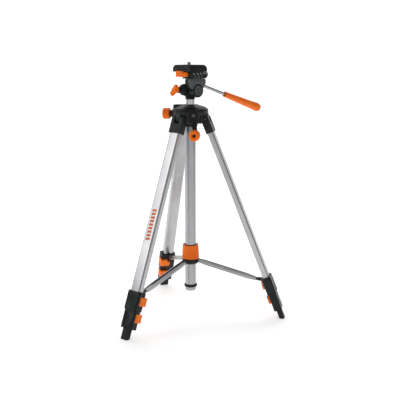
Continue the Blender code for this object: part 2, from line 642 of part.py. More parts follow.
nut = ribbed(0.0166, 0.0152, 0.1108, 0.1380)
cut(nut, rod(TUBE_R + GAP, 0.1000, 0.1500, None, 24))
node("hub_lock_nut", nut, "orange", "hub_lock_nut")

for i, az in enumerate(LEG_AZIMUTHS, 1):
    e = polar(az)
    out = e * math.cos(BRACE_ANGLE) - UP * math.sin(BRACE_ANGLE)
    hinge = polar(az, HUB_PIVOT_R, HUB_PIVOT_Z)
    # x out along the brace, y up and square to it, z across
    place = frame(hinge, out, -polar(az + 90))
    pivot("brace_%d" % i, place)
    h = BRACE_H / 2
    side = (arc(0, 0, BRACE_END / 2, 90, 270, 6) + [(0.0140, -h), (BRACE_LENGTH - 0.0140, -h)]
            + arc(BRACE_LENGTH, 0, 0.0024, -90, 90, 6) + [(BRACE_LENGTH - 0.0140, h), (0.0140, h)])
    bar = flat([side], -BRACE_W / 2, BRACE_W / 2, place)
    inside = BRACE_W / 2 - BRACE_WALL
    cut(bar, block((BRACE_LENGTH + 0.02, BRACE_H, 2 * inside), (BRACE_LENGTH / 2, BRACE_WALL, 0), place))
    cut(bar, block((0.0180, 0.0200, 2 * inside), (0.0020, 0, 0), place))
    cut(bar, block((0.0300, 0.0200, 2 * inside), (BRACE_LENGTH - 0.0090, 0, 0), place))
    cut(bar, rod(0.0012 + GAP, -0.01, 0.01, place, 12))
    node("brace_%d" % i, bar, "aluminium", "brace_%d" % i)

# ----------------------------------------------------------------------------------------------------------
# Legs
# ----------------------------------------------------------------------------------------------------------


def sleeve(x0, x1, y0, y1, r, bore, s0, s1, place):
    return flat([rounded(x0, x1, y0, y1, r), bore], s0, s1, place)


def tube_loop(w, t, r=0.0022):
    return rounded(-w / 2, w / 2, -t / 2, t / 2, r, 2)


def lever_solid(pin, barrel, side_in, side_out, face_in, face_out, free, s0, s1, place, notch):
    """Lock lever: a barrel on its pin, a plate down the leg's side and an arm across its inner face."""
    px, py = pin
    out = ([(side_in, py), (side_in, face_in), (free, face_in), (free, face_out + 0.0012),
            (free + 0.0012, face_out), (side_out - 0.0030, face_out), (side_out - 0.0006, face_out + 0.0016),
            (side_out, face_out + 0.0040), (side_out, py)] + arc(px, py, barrel, 5, 175, 6))
    obj = flat([out], s0, s1, place)
    if notch:
        cut(obj, block((notch[0] - free + 0.01, 0.02, notch[1] - s0 + 0.01),
                       ((notch[0] + free - 0.01) / 2, face_in - 0.005, (notch[1] + s0 - 0.01) / 2), place))
    cut(obj, rod(0.0011, s0 - 0.01, s1 + 0.01, place @ Matrix.Translation((px, py, 0)), 10))
    return obj


for i, az in enumerate(LEG_AZIMUTHS, 1):
    leg = "leg_%d" % i
    L = leg_frame(az)
    pivot(leg, L)
    pivot(leg + "_middle", L @ Matrix.Translation((0, 0, S_COLLAR_2)))
    pivot(leg + "_lower", L @ Matrix.Translation((0, 0, S_FOOT)))

    # top casting: a round-headed block slotted for the shoulder's tongue
    head = [(-0.0073, S_CASTING)] + arc(0, 0, 0.0073, 180, 360, 10) + [(0.0073, S_CASTING)]
    yz = L @ frame((0, 0, 0), (0, 1, 0), (1, 0, 0))       # x = square to the leg, y = down the leg, z = across
    casting = flat([head], -0.0130, 0.0130, yz)
    cut(casting, block((0.0106, 0.0300, 0.0300), (0, 0, 0.0095 - 0.0150), L))
    cut(casting, flat([rounded(-UPPER_W / 2 - GAP, UPPER_W / 2 + GAP, -UPPER_T / 2 - GAP, UPPER_T / 2 + GAP, 0.0024, 2)],
                      0.0122, 0.0400, L))
    cut(casting, rod(0.0018 + GAP, -0.0200, 0.0200, L @ Matrix.Rotation(math.radians(90), 4, "Y"), 14))
    node(leg + "_casting", casting, "black", leg)

    inner = tube_loop(UPPER_W - 2 * UPPER_WALL, UPPER_T - 2 * UPPER_WALL, 0.0014)
    node(leg + "_upper_tube", flat([tube_loop(UPPER_W, UPPER_T), inner], 0.0126, 0.3505, L), "aluminium", leg)

    # upper collar, with the brace lug between the two walls of the brace
    bore_w, bore_t = UPPER_W + 2 * GAP, UPPER_T + 2 * GAP
    collar = flat([rounded(-0.0145, 0.0165, -0.0092, 0.0088, 0.0030)], S_COLLAR_1, S_COLLAR_1_END, L)
    lug = [(-0.0060, 0.3235), (-0.0145, 0.3205)] + arc(BRACE_PIVOT_N, BRACE_PIVOT_S, 0.0024, 270, 90, 6)[::1] \
        + [(-0.0091, 0.3300), (-0.0060, 0.3300)]
    # local x = square to the leg, y = down the leg
    join(collar, flat([lug], -0.0026, 0.0026, yz))
    cut(collar, flat([rounded(-bore_w / 2, bore_w / 2, -bore_t / 2, bore_t / 2, 0.0024, 2)], 0.3200, 0.3509, L))
    mw, mt = MIDDLE_W + 2 * GAP, MIDDLE_T + 2 * GAP
    cut(collar, flat([rounded(-mw / 2, mw / 2, -mt / 2, mt / 2, 0.0020, 2)], 0.3490, 0.3700, L))
    s0, s1 = 0.3315, 0.3470
    pin_a = (0.0152, 0.0005)
    cut(collar, block((0.0100, 0.0300, s1 - s0 + 0.0008), (0.0155 + 0.0050, -0.0150 + 0.0042, (s0 + s1) / 2), L))
    cut(collar, rod(0.0036, s0 - 0.0004, s1 + 0.0004, L @ Matrix.Translation((pin_a[0], pin_a[1], 0)), 16))
    node(leg + "_upper_collar", collar, "black", leg)
    pivot(leg + "_upper_lever", L @ Matrix.Translation((pin_a[0], pin_a[1], (s0 + s1) / 2)))
    node(leg + "_upper_lever", lever_solid(pin_a, 0.0032, 0.0158, 0.0182, -0.0096, -0.0150, -0.0015, s0, s1, L,
                                           (0.0049, 0.3372)), "orange", leg + "_upper_lever")

    inner = tube_loop(MIDDLE_W - 2 * MIDDLE_WALL, MIDDLE_T - 2 * MIDDLE_WALL, 0.0012)
    node(leg + "_middle_tube", flat([tube_loop(MIDDLE_W, MIDDLE_T, 0.0018), inner], 0.0300, 0.3845, L), "aluminium",
         leg + "_middle")
    collar = flat([rounded(-0.0130, 0.0152, -0.0080, 0.0073, 0.0026)], S_COLLAR_2, S_COLLAR_2_END, L)
    cut(collar, flat([rounded(-mw / 2, mw / 2, -mt / 2, mt / 2, 0.0020, 2)], 0.3500, 0.3849, L))
    lw, lt = LOWER_W + 2 * GAP, LOWER_T + 2 * GAP
    cut(collar, flat([rounded(-lw / 2, lw / 2, -lt / 2, lt / 2, 0.0016, 2)], 0.3830, 0.4000, L))
    s0, s1 = 0.3625, 0.3778
    pin_b = (0.0137, 0.0003)
    cut(collar, block((0.0100, 0.0300, s1 - s0 + 0.0008), (0.0140 + 0.0050, -0.0150 + 0.0038, (s0 + s1) / 2), L))
    cut(collar, rod(0.0034, s0 - 0.0004, s1 + 0.0004, L @ Matrix.Translation((pin_b[0], pin_b[1], 0)), 16))
    node(leg + "_middle_collar", collar, "black", leg + "_middle")
    pivot(leg + "_lower_lever", L @ Matrix.Translation((pin_b[0], pin_b[1], (s0 + s1) / 2)))
    node(leg + "_lower_lever", lever_solid(pin_b, 0.0030, 0.0143, 0.0166, -0.0084, -0.0142, -0.0015, s0, s1, L, None),
         "orange", leg + "_lower_lever")

    node(leg + "_lower_tube", flat([tube_loop(LOWER_W, LOWER_T, 0.0014)], 0.0450, 0.3990, L), "aluminium",
         leg + "_lower")
    shoe = flat([rounded(-0.0088, 0.0088, -0.0048, 0.0048, 0.0028)], S_FOOT, 0.4160, L)
    cut(shoe, flat([rounded(-lw / 2, lw / 2, -lt / 2, lt / 2, 0.0016, 2)], 0.3800, 0.3994, L))
    cut(shoe, block((0.2, 0.2, 0.1), (0, 0, -0.05), Matrix.Translation(polar(az, 0.18))))
    node(leg + "_foot", shoe, "rubber", leg + "_lower")

# ----------------------------------------------------------------------------------------------------------
# Stand the model over the origin
# ----------------------------------------------------------------------------------------------------------
bpy.context.view_layer.update()
for obj in list(PARTS.objects):
    if obj.parent is None:
        obj.matrix_world = Matrix.Translation(SHIFT) @ obj.matrix_world
bpy.context.view_layer.update()
for obj in list(CUTTERS.objects):
    bpy.data.objects.remove(obj, do_unlink=True)
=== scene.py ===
"""Looks of the folding laser level tripod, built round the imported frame.

Metres, +Z up.  Every piece is drawn about the column axis and then moved by SHIFT, so that it lies where its CAD
node lies, and rides on that node's body.
"""

import json
import math
import bpy
import bmesh
from mathutils import Matrix, Vector

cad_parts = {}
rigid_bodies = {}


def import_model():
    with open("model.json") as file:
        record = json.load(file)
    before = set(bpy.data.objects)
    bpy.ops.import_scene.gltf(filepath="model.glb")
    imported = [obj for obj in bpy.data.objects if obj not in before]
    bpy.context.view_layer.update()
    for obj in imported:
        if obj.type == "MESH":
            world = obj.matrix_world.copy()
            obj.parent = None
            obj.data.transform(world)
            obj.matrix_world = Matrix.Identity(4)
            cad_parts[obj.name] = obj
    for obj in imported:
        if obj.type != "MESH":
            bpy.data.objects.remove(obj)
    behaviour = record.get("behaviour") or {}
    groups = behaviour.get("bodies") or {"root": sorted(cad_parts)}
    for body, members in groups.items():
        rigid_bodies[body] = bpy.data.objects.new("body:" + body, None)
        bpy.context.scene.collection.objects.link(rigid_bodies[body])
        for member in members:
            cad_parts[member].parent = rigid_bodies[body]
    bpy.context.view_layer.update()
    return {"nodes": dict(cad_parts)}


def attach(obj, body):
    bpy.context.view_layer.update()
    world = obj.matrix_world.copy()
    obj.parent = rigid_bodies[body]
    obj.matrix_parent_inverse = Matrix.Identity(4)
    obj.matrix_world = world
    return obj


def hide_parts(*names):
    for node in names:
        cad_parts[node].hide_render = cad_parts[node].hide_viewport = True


frame_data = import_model()

# ----------------------------------------------------------------------------------------------------------
# Driving dimensions (the CAD's own)
# ----------------------------------------------------------------------------------------------------------
GAP = 0.0003
SHIFT = Vector((0.0, 0.0051684, 0.0))
LEG_AZIMUTHS = (270.0, 30.0, 150.0)
SPLAY = 21.5
LEG_PIVOT_R, LEG_PIVOT_Z = 0.0297, 0.3815
UPPER_W, UPPER_T, UPPER_WALL = 0.0225, 0.0118, 0.0012
MIDDLE_W, MIDDLE_T, MIDDLE_WALL = 0.0193, 0.0086, 0.0010
LOWER_W, LOWER_T = 0.0165, 0.0058
S_CASTING = 0.0274
S_COLLAR_1, S_COLLAR_1_END = 0.3230, 0.3585
S_COLLAR_2, S_COLLAR_2_END = 0.3589, 0.3910
S_FOOT = 0.3915
BRACE_SLOPE, BRACE_LINE_Z = 0.2735, 0.1105
HUB_PIVOT_R, BRACE_PIVOT_N = 0.0158, -0.0223
BRACE_W, BRACE_H, BRACE_END, BRACE_WALL = 0.0090, 0.0076, 0.0056, 0.0012
TUBE_R, TUBE_IN_R = 0.0105, 0.0088
TUBE_TOP, TUBE_BOTTOM = 0.3785, 0.0480
COLUMN_R, COLUMN_IN_R = 0.0085, 0.0073
COLUMN_TOP, COLUMN_BOTTOM = 0.4170, 0.0600
SHOULDER_TOP = 0.4075
HAT_BOTTOM, CORE_BOTTOM = 0.3895, 0.3735
HAT_R, CORE_R, SOCKET_R, SOCKET_BOTTOM = 0.0340, 0.0200, 0.0140, 0.3665
MODULE, PINION_TEETH = 0.001, 13
PINION_R, RACK_PITCH_R = 0.0065, 0.0073
CRANK_AZIMUTH, CRANK_OFFSET, CRANK_Z = 300.0, 0.0138, 0.3900
CRANK_DROP, CRANK_LEAN = 0.0340, 0.0054
SKIRT_R, LEG_CLEAR = 0.0322, 0.0137
LOCK_AZIMUTH = 210.0
HEAD_AZIMUTH, TILT_Z = 83.25, 0.4335
HANDLE_U, HANDLE_SLOPE = 0.0120, 17.85
NECK_Z = 0.4178

UP = Vector((0, 0, 1))
COS, SIN = math.cos(math.radians(SPLAY)), math.sin(math.radians(SPLAY))
WORK = bpy.data.collections.new("work")
bpy.context.scene.collection.children.link(WORK)


# ----------------------------------------------------------------------------------------------------------
# Small tools
# ----------------------------------------------------------------------------------------------------------
def frame(origin, x_axis, z_axis):
    z = Vector(z_axis).normalized()
    y = z.cross(Vector(x_axis)).normalized()
    x = y.cross(z)
    m = Matrix((x, y, z)).transposed().to_4x4()
    m.translation = Vector(origin)
    return m


def polar(azimuth, radius=1.0, z=0.0):
    a = math.radians(azimuth)
    return Vector((radius * math.cos(a), radius * math.sin(a), z))


def link(name, mesh, placement=None):
    obj = bpy.data.objects.new(name, mesh)
    WORK.objects.link(obj)
    obj.matrix_world = placement or Matrix()
    return obj


def settle(obj, weld=True):
    """Apply the object's modifiers, weld its caps and turn its faces out."""
    bpy.context.view_layer.update()
    deps = bpy.context.evaluated_depsgraph_get()
    mesh = bpy.data.meshes.new_from_object(obj.evaluated_get(deps))
    if weld:
        bm = bmesh.new()
        bm.from_mesh(mesh)
        bmesh.ops.remove_doubles(bm, verts=bm.verts, dist=1e-6)
        bmesh.ops.recalc_face_normals(bm, faces=bm.faces)
        bm.to_mesh(mesh)
        bm.free()
    if obj.type == "MESH":
        obj.modifiers.clear()
        obj.data = mesh
        return obj
    new = link(obj.name + "_mesh", mesh, obj.matrix_world.copy())
    bpy.data.objects.remove(obj, do_unlink=True)
    return new


def block(size, centre=(0, 0, 0), place=None, bevel=0.0, segments=3):
    bm = bmesh.new()
    bmesh.ops.create_cube(bm, size=1.0)
    for v in bm.verts:
        v.co = Vector((v.co.x * size[0] + centre[0], v.co.y * size[1] + centre[1], v.co.z * size[2] + centre[2]))
    mesh = bpy.data.meshes.new("block")
    bm.to_mesh(mesh)
    bm.free()
    obj = link("block", mesh, place)
    if bevel:
        mod = obj.modifiers.new("edge", "BEVEL")
        mod.width = bevel
        mod.segments = segments
        settle(obj)
    return obj


def turned(profile, place=None, steps=56):
    closed = profile[0][0] > 1e-7
    bm = bmesh.new()
    verts = [bm.verts.new((r, 0.0, z)) for r, z in profile]
    for a, b in zip(verts, verts[1:]):
        bm.edges.new((a, b))
    if closed:
        bm.edges.new((verts[-1], verts[0]))
    mesh = bpy.data.meshes.new("turned")
    bm.to_mesh(mesh)
    bm.free()
    obj = link("turned", mesh, place)
    mod = obj.modifiers.new("turn", "SCREW")
    mod.axis = "Z"
    mod.steps = mod.render_steps = steps
    mod.use_merge_vertices = True
    mod.merge_threshold = 0.000001
    return settle(obj)


def soft_profile(points, radius=0.0005, n=3, sharp=()):
    """Round the corners of an open (r, z) profile, except its ends and those listed in sharp."""
    out = []
    last = len(points) - 1
    for i, p in enumerate(points):
        if i in (0, last) or i in sharp:
            out.append(p)
            continue
        a, b, c = Vector(points[i - 1]), Vector(p), Vector(points[i + 1])
        u, v = a - b, c - b
        if u.length < 1e-7 or v.length < 1e-7:
            out.append(p)
            continue
        k = min(radius, u.length * 0.45, v.length * 0.45)
        p0, p1 = b + u.normalized() * k, b + v.normalized() * k
        for j in range(n + 1):
            t = j / n
            q = p0 * (1 - t) ** 2 + b * 2 * t * (1 - t) + p1 * t * t
            out.append((q.x, q.y))
    return out


def rod(radius, z0, z1, place=None, steps=56, chamfer=0.0):
    c = chamfer
    if c:
        prof = soft_profile([(0, z1), (radius, z1), (radius, z0), (0, z0)], c, 4)
    else:
        prof = [(0, z1), (radius, z1), (radius, z0), (0, z0)]
    return turned(prof, place, steps)


def ring(r_in, r_out, z0, z1, place=None, steps=56):
    return turned([(r_out, z1), (r_out, z0), (r_in, z0), (r_in, z1)], place, steps)


def flat(loops, z0, z1, place=None):
    curve = bpy.data.curves.new("flat", "CURVE")
    curve.dimensions = "2D"
    curve.fill_mode = "BOTH"
    curve.extrude = (z1 - z0) / 2
    for loop in loops:
        spline = curve.splines.new("POLY")
        spline.points.add(len(loop) - 1)
        for p, (x, y) in zip(spline.points, loop):
            p.co = (x, y, 0.0, 1.0)
        spline.use_cyclic_u = True
    base = place or Matrix()
    obj = link("flat", curve, base @ Matrix.Translation((0, 0, (z0 + z1) / 2)))
    return settle(obj)


def loft(loops, zs):
    """A closed solid through several equal-length outlines, one at each height."""
    bm = bmesh.new()
    rows = [[bm.verts.new((x, y, z)) for x, y in loop] for loop, z in zip(loops, zs)]
    n = len(rows[0])
    for a, b in zip(rows, rows[1:]):
        for i in range(n):
            j = (i + 1) % n
            bm.faces.new((a[i], a[j], b[j], b[i]))
    bm.faces.new(list(reversed(rows[0])))
    bm.faces.new(rows[-1])
    mesh = bpy.data.meshes.new("loft")
    bm.to_mesh(mesh)
    bm.free()
    return mesh


def arc(cx, cy, r, a0, a1, n):
    return [(cx + r * math.cos(math.radians(a0 + (a1 - a0) * i / n)),
             cy + r * math.sin(math.radians(a0 + (a1 - a0) * i / n))) for i in range(n + 1)]


def rounded(x0, x1, y0, y1, r, n=8):
    return (arc(x1 - r, y1 - r, r, 0, 90, n) + arc(x0 + r, y1 - r, r, 90, 180, n)
            + arc(x0 + r, y0 + r, r, 180, 270, n) + arc(x1 - r, y0 + r, r, 270, 360, n))


def combine(base, others, how):
    for other in others:
        mod = base.modifiers.new("join", "BOOLEAN")
        mod.operation = how
        mod.solver = "EXACT"
        mod.object = other
        settle(base)
        bpy.data.objects.remove(other, do_unlink=True)
    return base


def join(base, *others):
    return combine(base, others, "UNION")


def cut(base, *others):
    return combine(base, others, "DIFFERENCE")


def keep(base, *others):
    return combine(base, others, "INTERSECT")


def lump(*objs):
    """Several meshes in one object, in the first one's frame."""
    first = objs[0]
    bm = bmesh.new()
    bm.from_mesh(first.data)
    inv = first.matrix_world.inverted()
    for o in objs[1:]:
        mesh = o.data.copy()
        mesh.transform(inv @ o.matrix_world)
        bm.from_mesh(mesh)
        bpy.data.meshes.remove(mesh)
        bpy.data.objects.remove(o, do_unlink=True)
    bm.to_mesh(first.data)
    bm.free()
    return first


def tidy(obj, angle=0.6):
    """Merge the coplanar facets that the booleans leave behind."""
    bm = bmesh.new()
    bm.from_mesh(obj.data)
    bmesh.ops.remove_doubles(bm, verts=bm.verts, dist=2e-6)
    bmesh.ops.dissolve_degenerate(bm, edges=bm.edges, dist=1e-6)
    bmesh.ops.dissolve_limit(bm, angle_limit=math.radians(angle), verts=bm.verts, edges=bm.edges,
                             use_dissolve_boundaries=False)
    bm.to_mesh(obj.data)
    bm.free()
    return obj


def look(name, obj, mat, body, nodes=None, bevel=0.0, segments=2, limit=32.0, reframe=None, smooth=38.0):
    """Finish a piece: soften its edges, give it its material, put it in place and hang it on its body."""
    if bevel:
        tidy(obj)
        mod = obj.modifiers.new("edge", "BEVEL")
        mod.width = bevel
        mod.segments = segments
        mod.limit_method = "ANGLE"
        mod.angle_limit = math.radians(limit)
        mod.use_clamp_overlap = True
        mod.miter_outer = "MITER_ARC"
        settle(obj, weld=False)
    if reframe is not None:
        obj.data.transform(reframe.inverted() @ obj.matrix_world)
        obj.matrix_world = reframe
    for coll in list(obj.users_collection):
        coll.objects.unlink(obj)
    bpy.context.scene.collection.objects.link(obj)
    obj.name = name
    obj.data.name = name
    obj.matrix_world = Matrix.Translation(SHIFT) @ obj.matrix_world
    obj.data.materials.clear()
    obj.data.materials.append(mat)
    obj.data.shade_smooth()
    obj.data.set_sharp_from_angle(angle=math.radians(smooth))
    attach(obj, body)
    if nodes:
        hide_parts(*nodes)
    return obj


# ----------------------------------------------------------------------------------------------------------
# Materials
# ----------------------------------------------------------------------------------------------------------
def srgb(r, g, b):
    return tuple(((c / 255) / 12.92 if c <= 10 else ((c / 255 + 0.055) / 1.055) ** 2.4) for c in (r, g, b))


class Graph:
    """A short way to write a material's nodes."""

    def __init__(self, name):
        self.mat = bpy.data.materials.new(name)
        self.mat.use_nodes = True
        self.tree = self.mat.node_tree
        self.bsdf = self.tree.nodes["Principled BSDF"]
        self.coord = self.node("ShaderNodeTexCoord").outputs["Object"]

    def node(self, kind, **inputs):
        n = self.tree.nodes.new(kind)
        for key, value in inputs.items():
            self.set(n, key.replace("_", " "), value)
        return n

    def set(self, n, key, value):
        if isinstance(value, bpy.types.NodeSocket):
            self.tree.links.new(value, n.inputs[key])
        else:
            n.inputs[key].default_value = value

    def scaled(self, x, y, z, coord=None):
        n = self.node("ShaderNodeMapping", Vector=coord or self.coord)
        n.inputs["Scale"].default_value = (x, y, z)
        return n.outputs["Vector"]

    def noise(self, coord, scale=1.0, detail=3.0, rough=0.55):
        n = self.node("ShaderNodeTexNoise", Vector=coord)
        n.inputs["Scale"].default_value = scale
        n.inputs["Detail"].default_value = detail
        n.inputs["Roughness"].default_value = rough
        return n.outputs["Fac"]

    def voronoi(self, coord, scale, feature="F1"):
        n = self.node("ShaderNodeTexVoronoi", Vector=coord)
        n.feature = feature
        n.inputs["Scale"].default_value = scale
        return n.outputs["Distance"]

    def ramp(self, fac, *stops):
        n = self.node("ShaderNodeValToRGB", Fac=fac)
        el = n.color_ramp.elements
        while len(el) > 1:
            el.remove(el[-1])
        el[0].position, el[0].color = stops[0][0], (*stops[0][1], 1)
        for pos, col in stops[1:]:
            e = el.new(pos)
            e.color = (*col, 1)
        return n.outputs["Color"]

    def remap(self, fac, a, b, c, d):
        n = self.node("ShaderNodeMapRange")
        for k, v in (("Value", fac), ("From Min", a), ("From Max", b), ("To Min", c), ("To Max", d)):
            self.set(n, k, v)
        return n.outputs["Result"]

    def maths(self, op, a, b=None):
        n = self.node("ShaderNodeMath")
        n.operation = op
        for i, v in enumerate((a, b)):
            if v is None:
                continue
            if isinstance(v, bpy.types.NodeSocket):
                self.tree.links.new(v, n.inputs[i])
            else:
                n.inputs[i].default_value = v
        return n.outputs["Value"]

    def bump(self, height, strength, distance, normal=None):
        n = self.node("ShaderNodeBump", Height=height, Strength=strength, Distance=distance)
        if normal is not None:
            self.set(n, "Normal", normal)
        return n.outputs["Normal"]

    def mix(self, fac, a, b):
        n = self.node("ShaderNodeMix")
        n.data_type = "RGBA"
        self.set(n, "Factor", fac)
        for sock, v in ((n.inputs[6], a), (n.inputs[7], b)):
            if isinstance(v, bpy.types.NodeSocket):
                self.tree.links.new(v, sock)
            else:
                sock.default_value = (*v, 1)
        return n.outputs[2]

    def out(self, **inputs):
        for key, value in inputs.items():
            key = key.replace("_", " ")
            if isinstance(value, tuple) and len(value) == 3:
                value = (*value, 1)
            self.set(self.bsdf, key, value)
        return self.mat


def edge_wear(g, low=0.50, high=0.62):
    """1 on convex edges, 0 elsewhere."""
    geo = g.node("ShaderNodeNewGeometry")
    return g.remap(geo.outputs["Pointiness"], low, high, 0.0, 1.0)


def moulded(name, base, tint, rough=0.42, grain=0.10, size=1900.0, spec=0.5, wear=0.35, sheen=None):
    """Moulded plastic: fine spark-eroded grain, faint flow mottling and polished, paler edges."""
    g = Graph(name)
    grain_tex = g.noise(g.scaled(1, 1, 1), size, 3.0, 0.6)
    mottle = g.noise(g.scaled(1, 1, 1), 90.0, 4.0, 0.6)
    flow = g.noise(g.scaled(1, 1, 0.35), 34.0, 2.0, 0.5)
    colour = g.mix(g.remap(mottle, 0.35, 0.68, 0.0, 1.0), base, tint)
    worn = tuple(min(1.0, c * 1.5 + 0.012) for c in base) if wear else base
    colour = g.mix(g.maths("MULTIPLY", edge_wear(g), wear), colour, worn)
    r = g.maths("ADD", g.remap(mottle, 0.3, 0.7, rough - 0.06, rough + 0.07), g.remap(flow, 0.3, 0.7, -0.03, 0.03))
    r = g.maths("SUBTRACT", r, g.maths("MULTIPLY", edge_wear(g), 0.08))
    n = g.bump(grain_tex, grain, 0.00012)
    n = g.bump(flow, 0.04, 0.0015, n)
    return g.out(Base_Color=colour, Roughness=r, Normal=n, Specular_IOR_Level=spec)


def drawn_tube(name, base, tint, rough=0.30, axis="z", lines=0.10, brushed=3200.0, metallic=1.0):
    """Anodised drawn aluminium: long faint die lines, a fine satin grain and slight colour drift along it."""
    g = Graph(name)
    long = {"z": (1, 1, 0.012), "x": (0.012, 1, 1), "y": (1, 0.012, 1)}[axis]
    die = g.noise(g.scaled(*long), 900.0, 3.0, 0.65)
    fine = g.noise(g.scaled(*long), brushed, 2.0, 0.5)
    satin = g.noise(g.scaled(1, 1, 1), 2600.0, 2.0, 0.5)
    cloud = g.noise(g.scaled(1, 1, 1), 22.0, 3.0, 0.6)
    colour = g.mix(g.remap(cloud, 0.35, 0.65, 0.0, 1.0), base, tint)
    colour = g.mix(g.remap(die, 0.45, 0.75, 0.0, 0.22), colour, tuple(c * 0.86 for c in base))
    r = g.maths("ADD", g.remap(die, 0.3, 0.7, rough - 0.05, rough + 0.06), g.remap(cloud, 0.3, 0.7, -0.02, 0.03))
    n = g.bump(die, lines, 0.00010)
    n = g.bump(fine, lines * 0.6, 0.00005, n)
    n = g.bump(satin, 0.05, 0.00004, n)
    return g.out(Base_Color=colour, Roughness=r, Normal=n, Metallic=metallic, Anisotropic=0.35)


def plated(name, base, rough=0.10, turned_lines=0.04):
    """Bright plating over turned steel: soft reflections broken by faint rings and a little haze."""
    g = Graph(name)
    rings = g.noise(g.scaled(0.02, 0.02, 1), 2600.0, 2.0, 0.5)
    haze = g.noise(g.scaled(1, 1, 1), 60.0, 4.0, 0.6)
    pits = g.voronoi(g.scaled(1, 1, 1), 1400.0)
    colour = g.mix(g.remap(haze, 0.35, 0.7, 0.0, 0.5), base, tuple(c * 0.9 for c in base))
    r = g.maths("ADD", g.remap(haze, 0.35, 0.7, rough - 0.02, rough + 0.06), g.remap(rings, 0.4, 0.7, 0.0, 0.03))
    n = g.bump(rings, turned_lines, 0.00004)
    n = g.bump(pits, 0.015, 0.00003, n)
    return g.out(Base_Color=colour, Roughness=r, Normal=n, Metallic=1.0)


def rubbery(name, base, tint, rough=0.72):
    """Moulded rubber: matt, faintly dusty, with a pebbled skin."""
    g = Graph(name)
    pebble = g.voronoi(g.scaled(1, 1, 1), 900.0)
    dust = g.noise(g.scaled(1, 1, 1), 120.0, 5.0, 0.65)
    colour = g.mix(g.remap(dust, 0.42, 0.72, 0.0, 1.0), base, tint)
    colour = g.mix(g.maths("MULTIPLY", edge_wear(g), 0.4), colour, tuple(c * 2.0 + 0.01 for c in base))
    r = g.remap(dust, 0.3, 0.7, rough - 0.12, rough + 0.10)
    n = g.bump(pebble, 0.16, 0.00012)
    n = g.bump(g.noise(g.scaled(1, 1, 1), 2200.0, 2.0, 0.5), 0.10, 0.00005, n)
    return g.out(Base_Color=colour, Roughness=r, Normal=n, Specular_IOR_Level=0.35)


BLACK = moulded("black_moulding", srgb(24, 27, 28), srgb(32, 36, 37), 0.36, 0.10, spec=0.22)
BLACK_SHINY = moulded("black_gloss_moulding", srgb(18, 20, 21), srgb(26, 29, 30), 0.24, 0.05, spec=0.26)
PRINT = moulded("orange_print", srgb(228, 120, 62), srgb(218, 108, 50), 0.5, 0.05, 1500.0, 0.4, 0.1)
# pale grey for the tray teeth is a painted highlight: it stands in for light caught on the tops of black teeth
TEETH_HIGHLIGHT_GREY = moulded("pale_grey_painted_highlight", srgb(128, 131, 132), srgb(140, 143, 144), 0.45, 0.10, 2300.0)
GREY = moulded("grey_moulding", srgb(76, 79, 80), srgb(88, 91, 92), 0.48, 0.14, 2300.0, 0.25)
ORANGE = moulded("orange_moulding", srgb(255, 122, 22), srgb(252, 112, 14), 0.36, 0.05, 1500.0, 0.22, 0.22)
ALUMINIUM = drawn_tube("drawn_aluminium", (0.52, 0.52, 0.53), (0.48, 0.485, 0.495))
ALUMINIUM_MID = drawn_tube("drawn_aluminium_column", (0.42, 0.42, 0.43), (0.38, 0.385, 0.395), 0.24)
ALUMINIUM_X = drawn_tube("drawn_aluminium_brace", (0.38, 0.38, 0.39), (0.34, 0.345, 0.355), 0.30, "x")
STEEL = plated("plated_steel", (0.48, 0.48, 0.49), 0.24, 0.08)
STEEL_DARK = plated("blackened_steel", (0.16, 0.16, 0.165), 0.34, 0.06)
CHROME = plated("chrome_plate", (0.80, 0.80, 0.81), 0.09)
CHROME_ROD = plated("satin_rod_plate", (0.36, 0.36, 0.37), 0.16)
RUBBER = rubbery("black_rubber", srgb(26, 28, 28), srgb(36, 38, 38))
CORK = rubbery("pad_rubber", srgb(32, 33, 33), srgb(42, 43, 43), 0.80)


def leg_frame(azimuth):
    """x across the leg, y square to it and outwards, z down along it, from the leg pivot."""
    e = polar(azimuth)
    return frame(polar(azimuth, LEG_PIVOT_R, LEG_PIVOT_Z), polar(azimuth + 90), e * SIN - UP * COS)


def leg_rz(s, n):
    return LEG_PIVOT_R + s * SIN + n * COS, LEG_PIVOT_Z - s * COS + n * SIN


lo, hi = 0.25, 0.36
for _ in range(60):
    mid = (lo + hi) / 2
    r_, z_ = leg_rz(mid, BRACE_PIVOT_N)
    lo, hi = (mid, hi) if z_ > BRACE_LINE_Z - BRACE_SLOPE * r_ else (lo, mid)
BRACE_PIVOT_S = (lo + hi) / 2
HUB_PIVOT_Z = BRACE_LINE_Z - BRACE_SLOPE * HUB_PIVOT_R
q_r, q_z = leg_rz(BRACE_PIVOT_S, BRACE_PIVOT_N)
BRACE_LENGTH = math.hypot(q_r - HUB_PIVOT_R, q_z - HUB_PIVOT_Z)
BRACE_ANGLE = math.atan2(HUB_PIVOT_Z - q_z, q_r - HUB_PIVOT_R)


# ----------------------------------------------------------------------------------------------------------
# Fasteners
# ----------------------------------------------------------------------------------------------------------
def rivet(name, place, radius, height, body):
    """Domed rivet head with a dimple, its foot at the placement's origin."""
    prof = [(0, height * 0.72), (radius * 0.28, height * 0.80), (radius * 0.42, height), (radius * 0.72, height * 0.86),
            (radius * 0.93, height * 0.52), (radius, height * 0.1), (radius, -0.0003), (0, -0.0003)]
    return look(name, turned(soft_profile(prof, 0.0002, 3), place, 28), STEEL, body)


def screw(name, place, radius, height, body):
    """Pan head with a cross recess."""
    prof = [(0, height), (radius * 0.55, height * 0.97), (radius * 0.85, height * 0.75), (radius, height * 0.3),
            (radius, -0.0003), (0, -0.0003)]
    head = turned(soft_profile(prof, 0.0002, 3), place, 28)
    w = radius * 0.24
    for turn in (0, 90):
        cut(head, block((radius * 1.15, w, height), (0, 0, height * 0.90), place @ Matrix.Rotation(math.radians(turn + 20), 4, "Z")))
    return look(name, head, STEEL_DARK, body)


def keep_node(name, mat):
    """A CAD node that is shown as it is, with a finished material."""
    o = frame_data["nodes"][name]
    o.data.materials.clear()
    o.data.materials.append(mat)


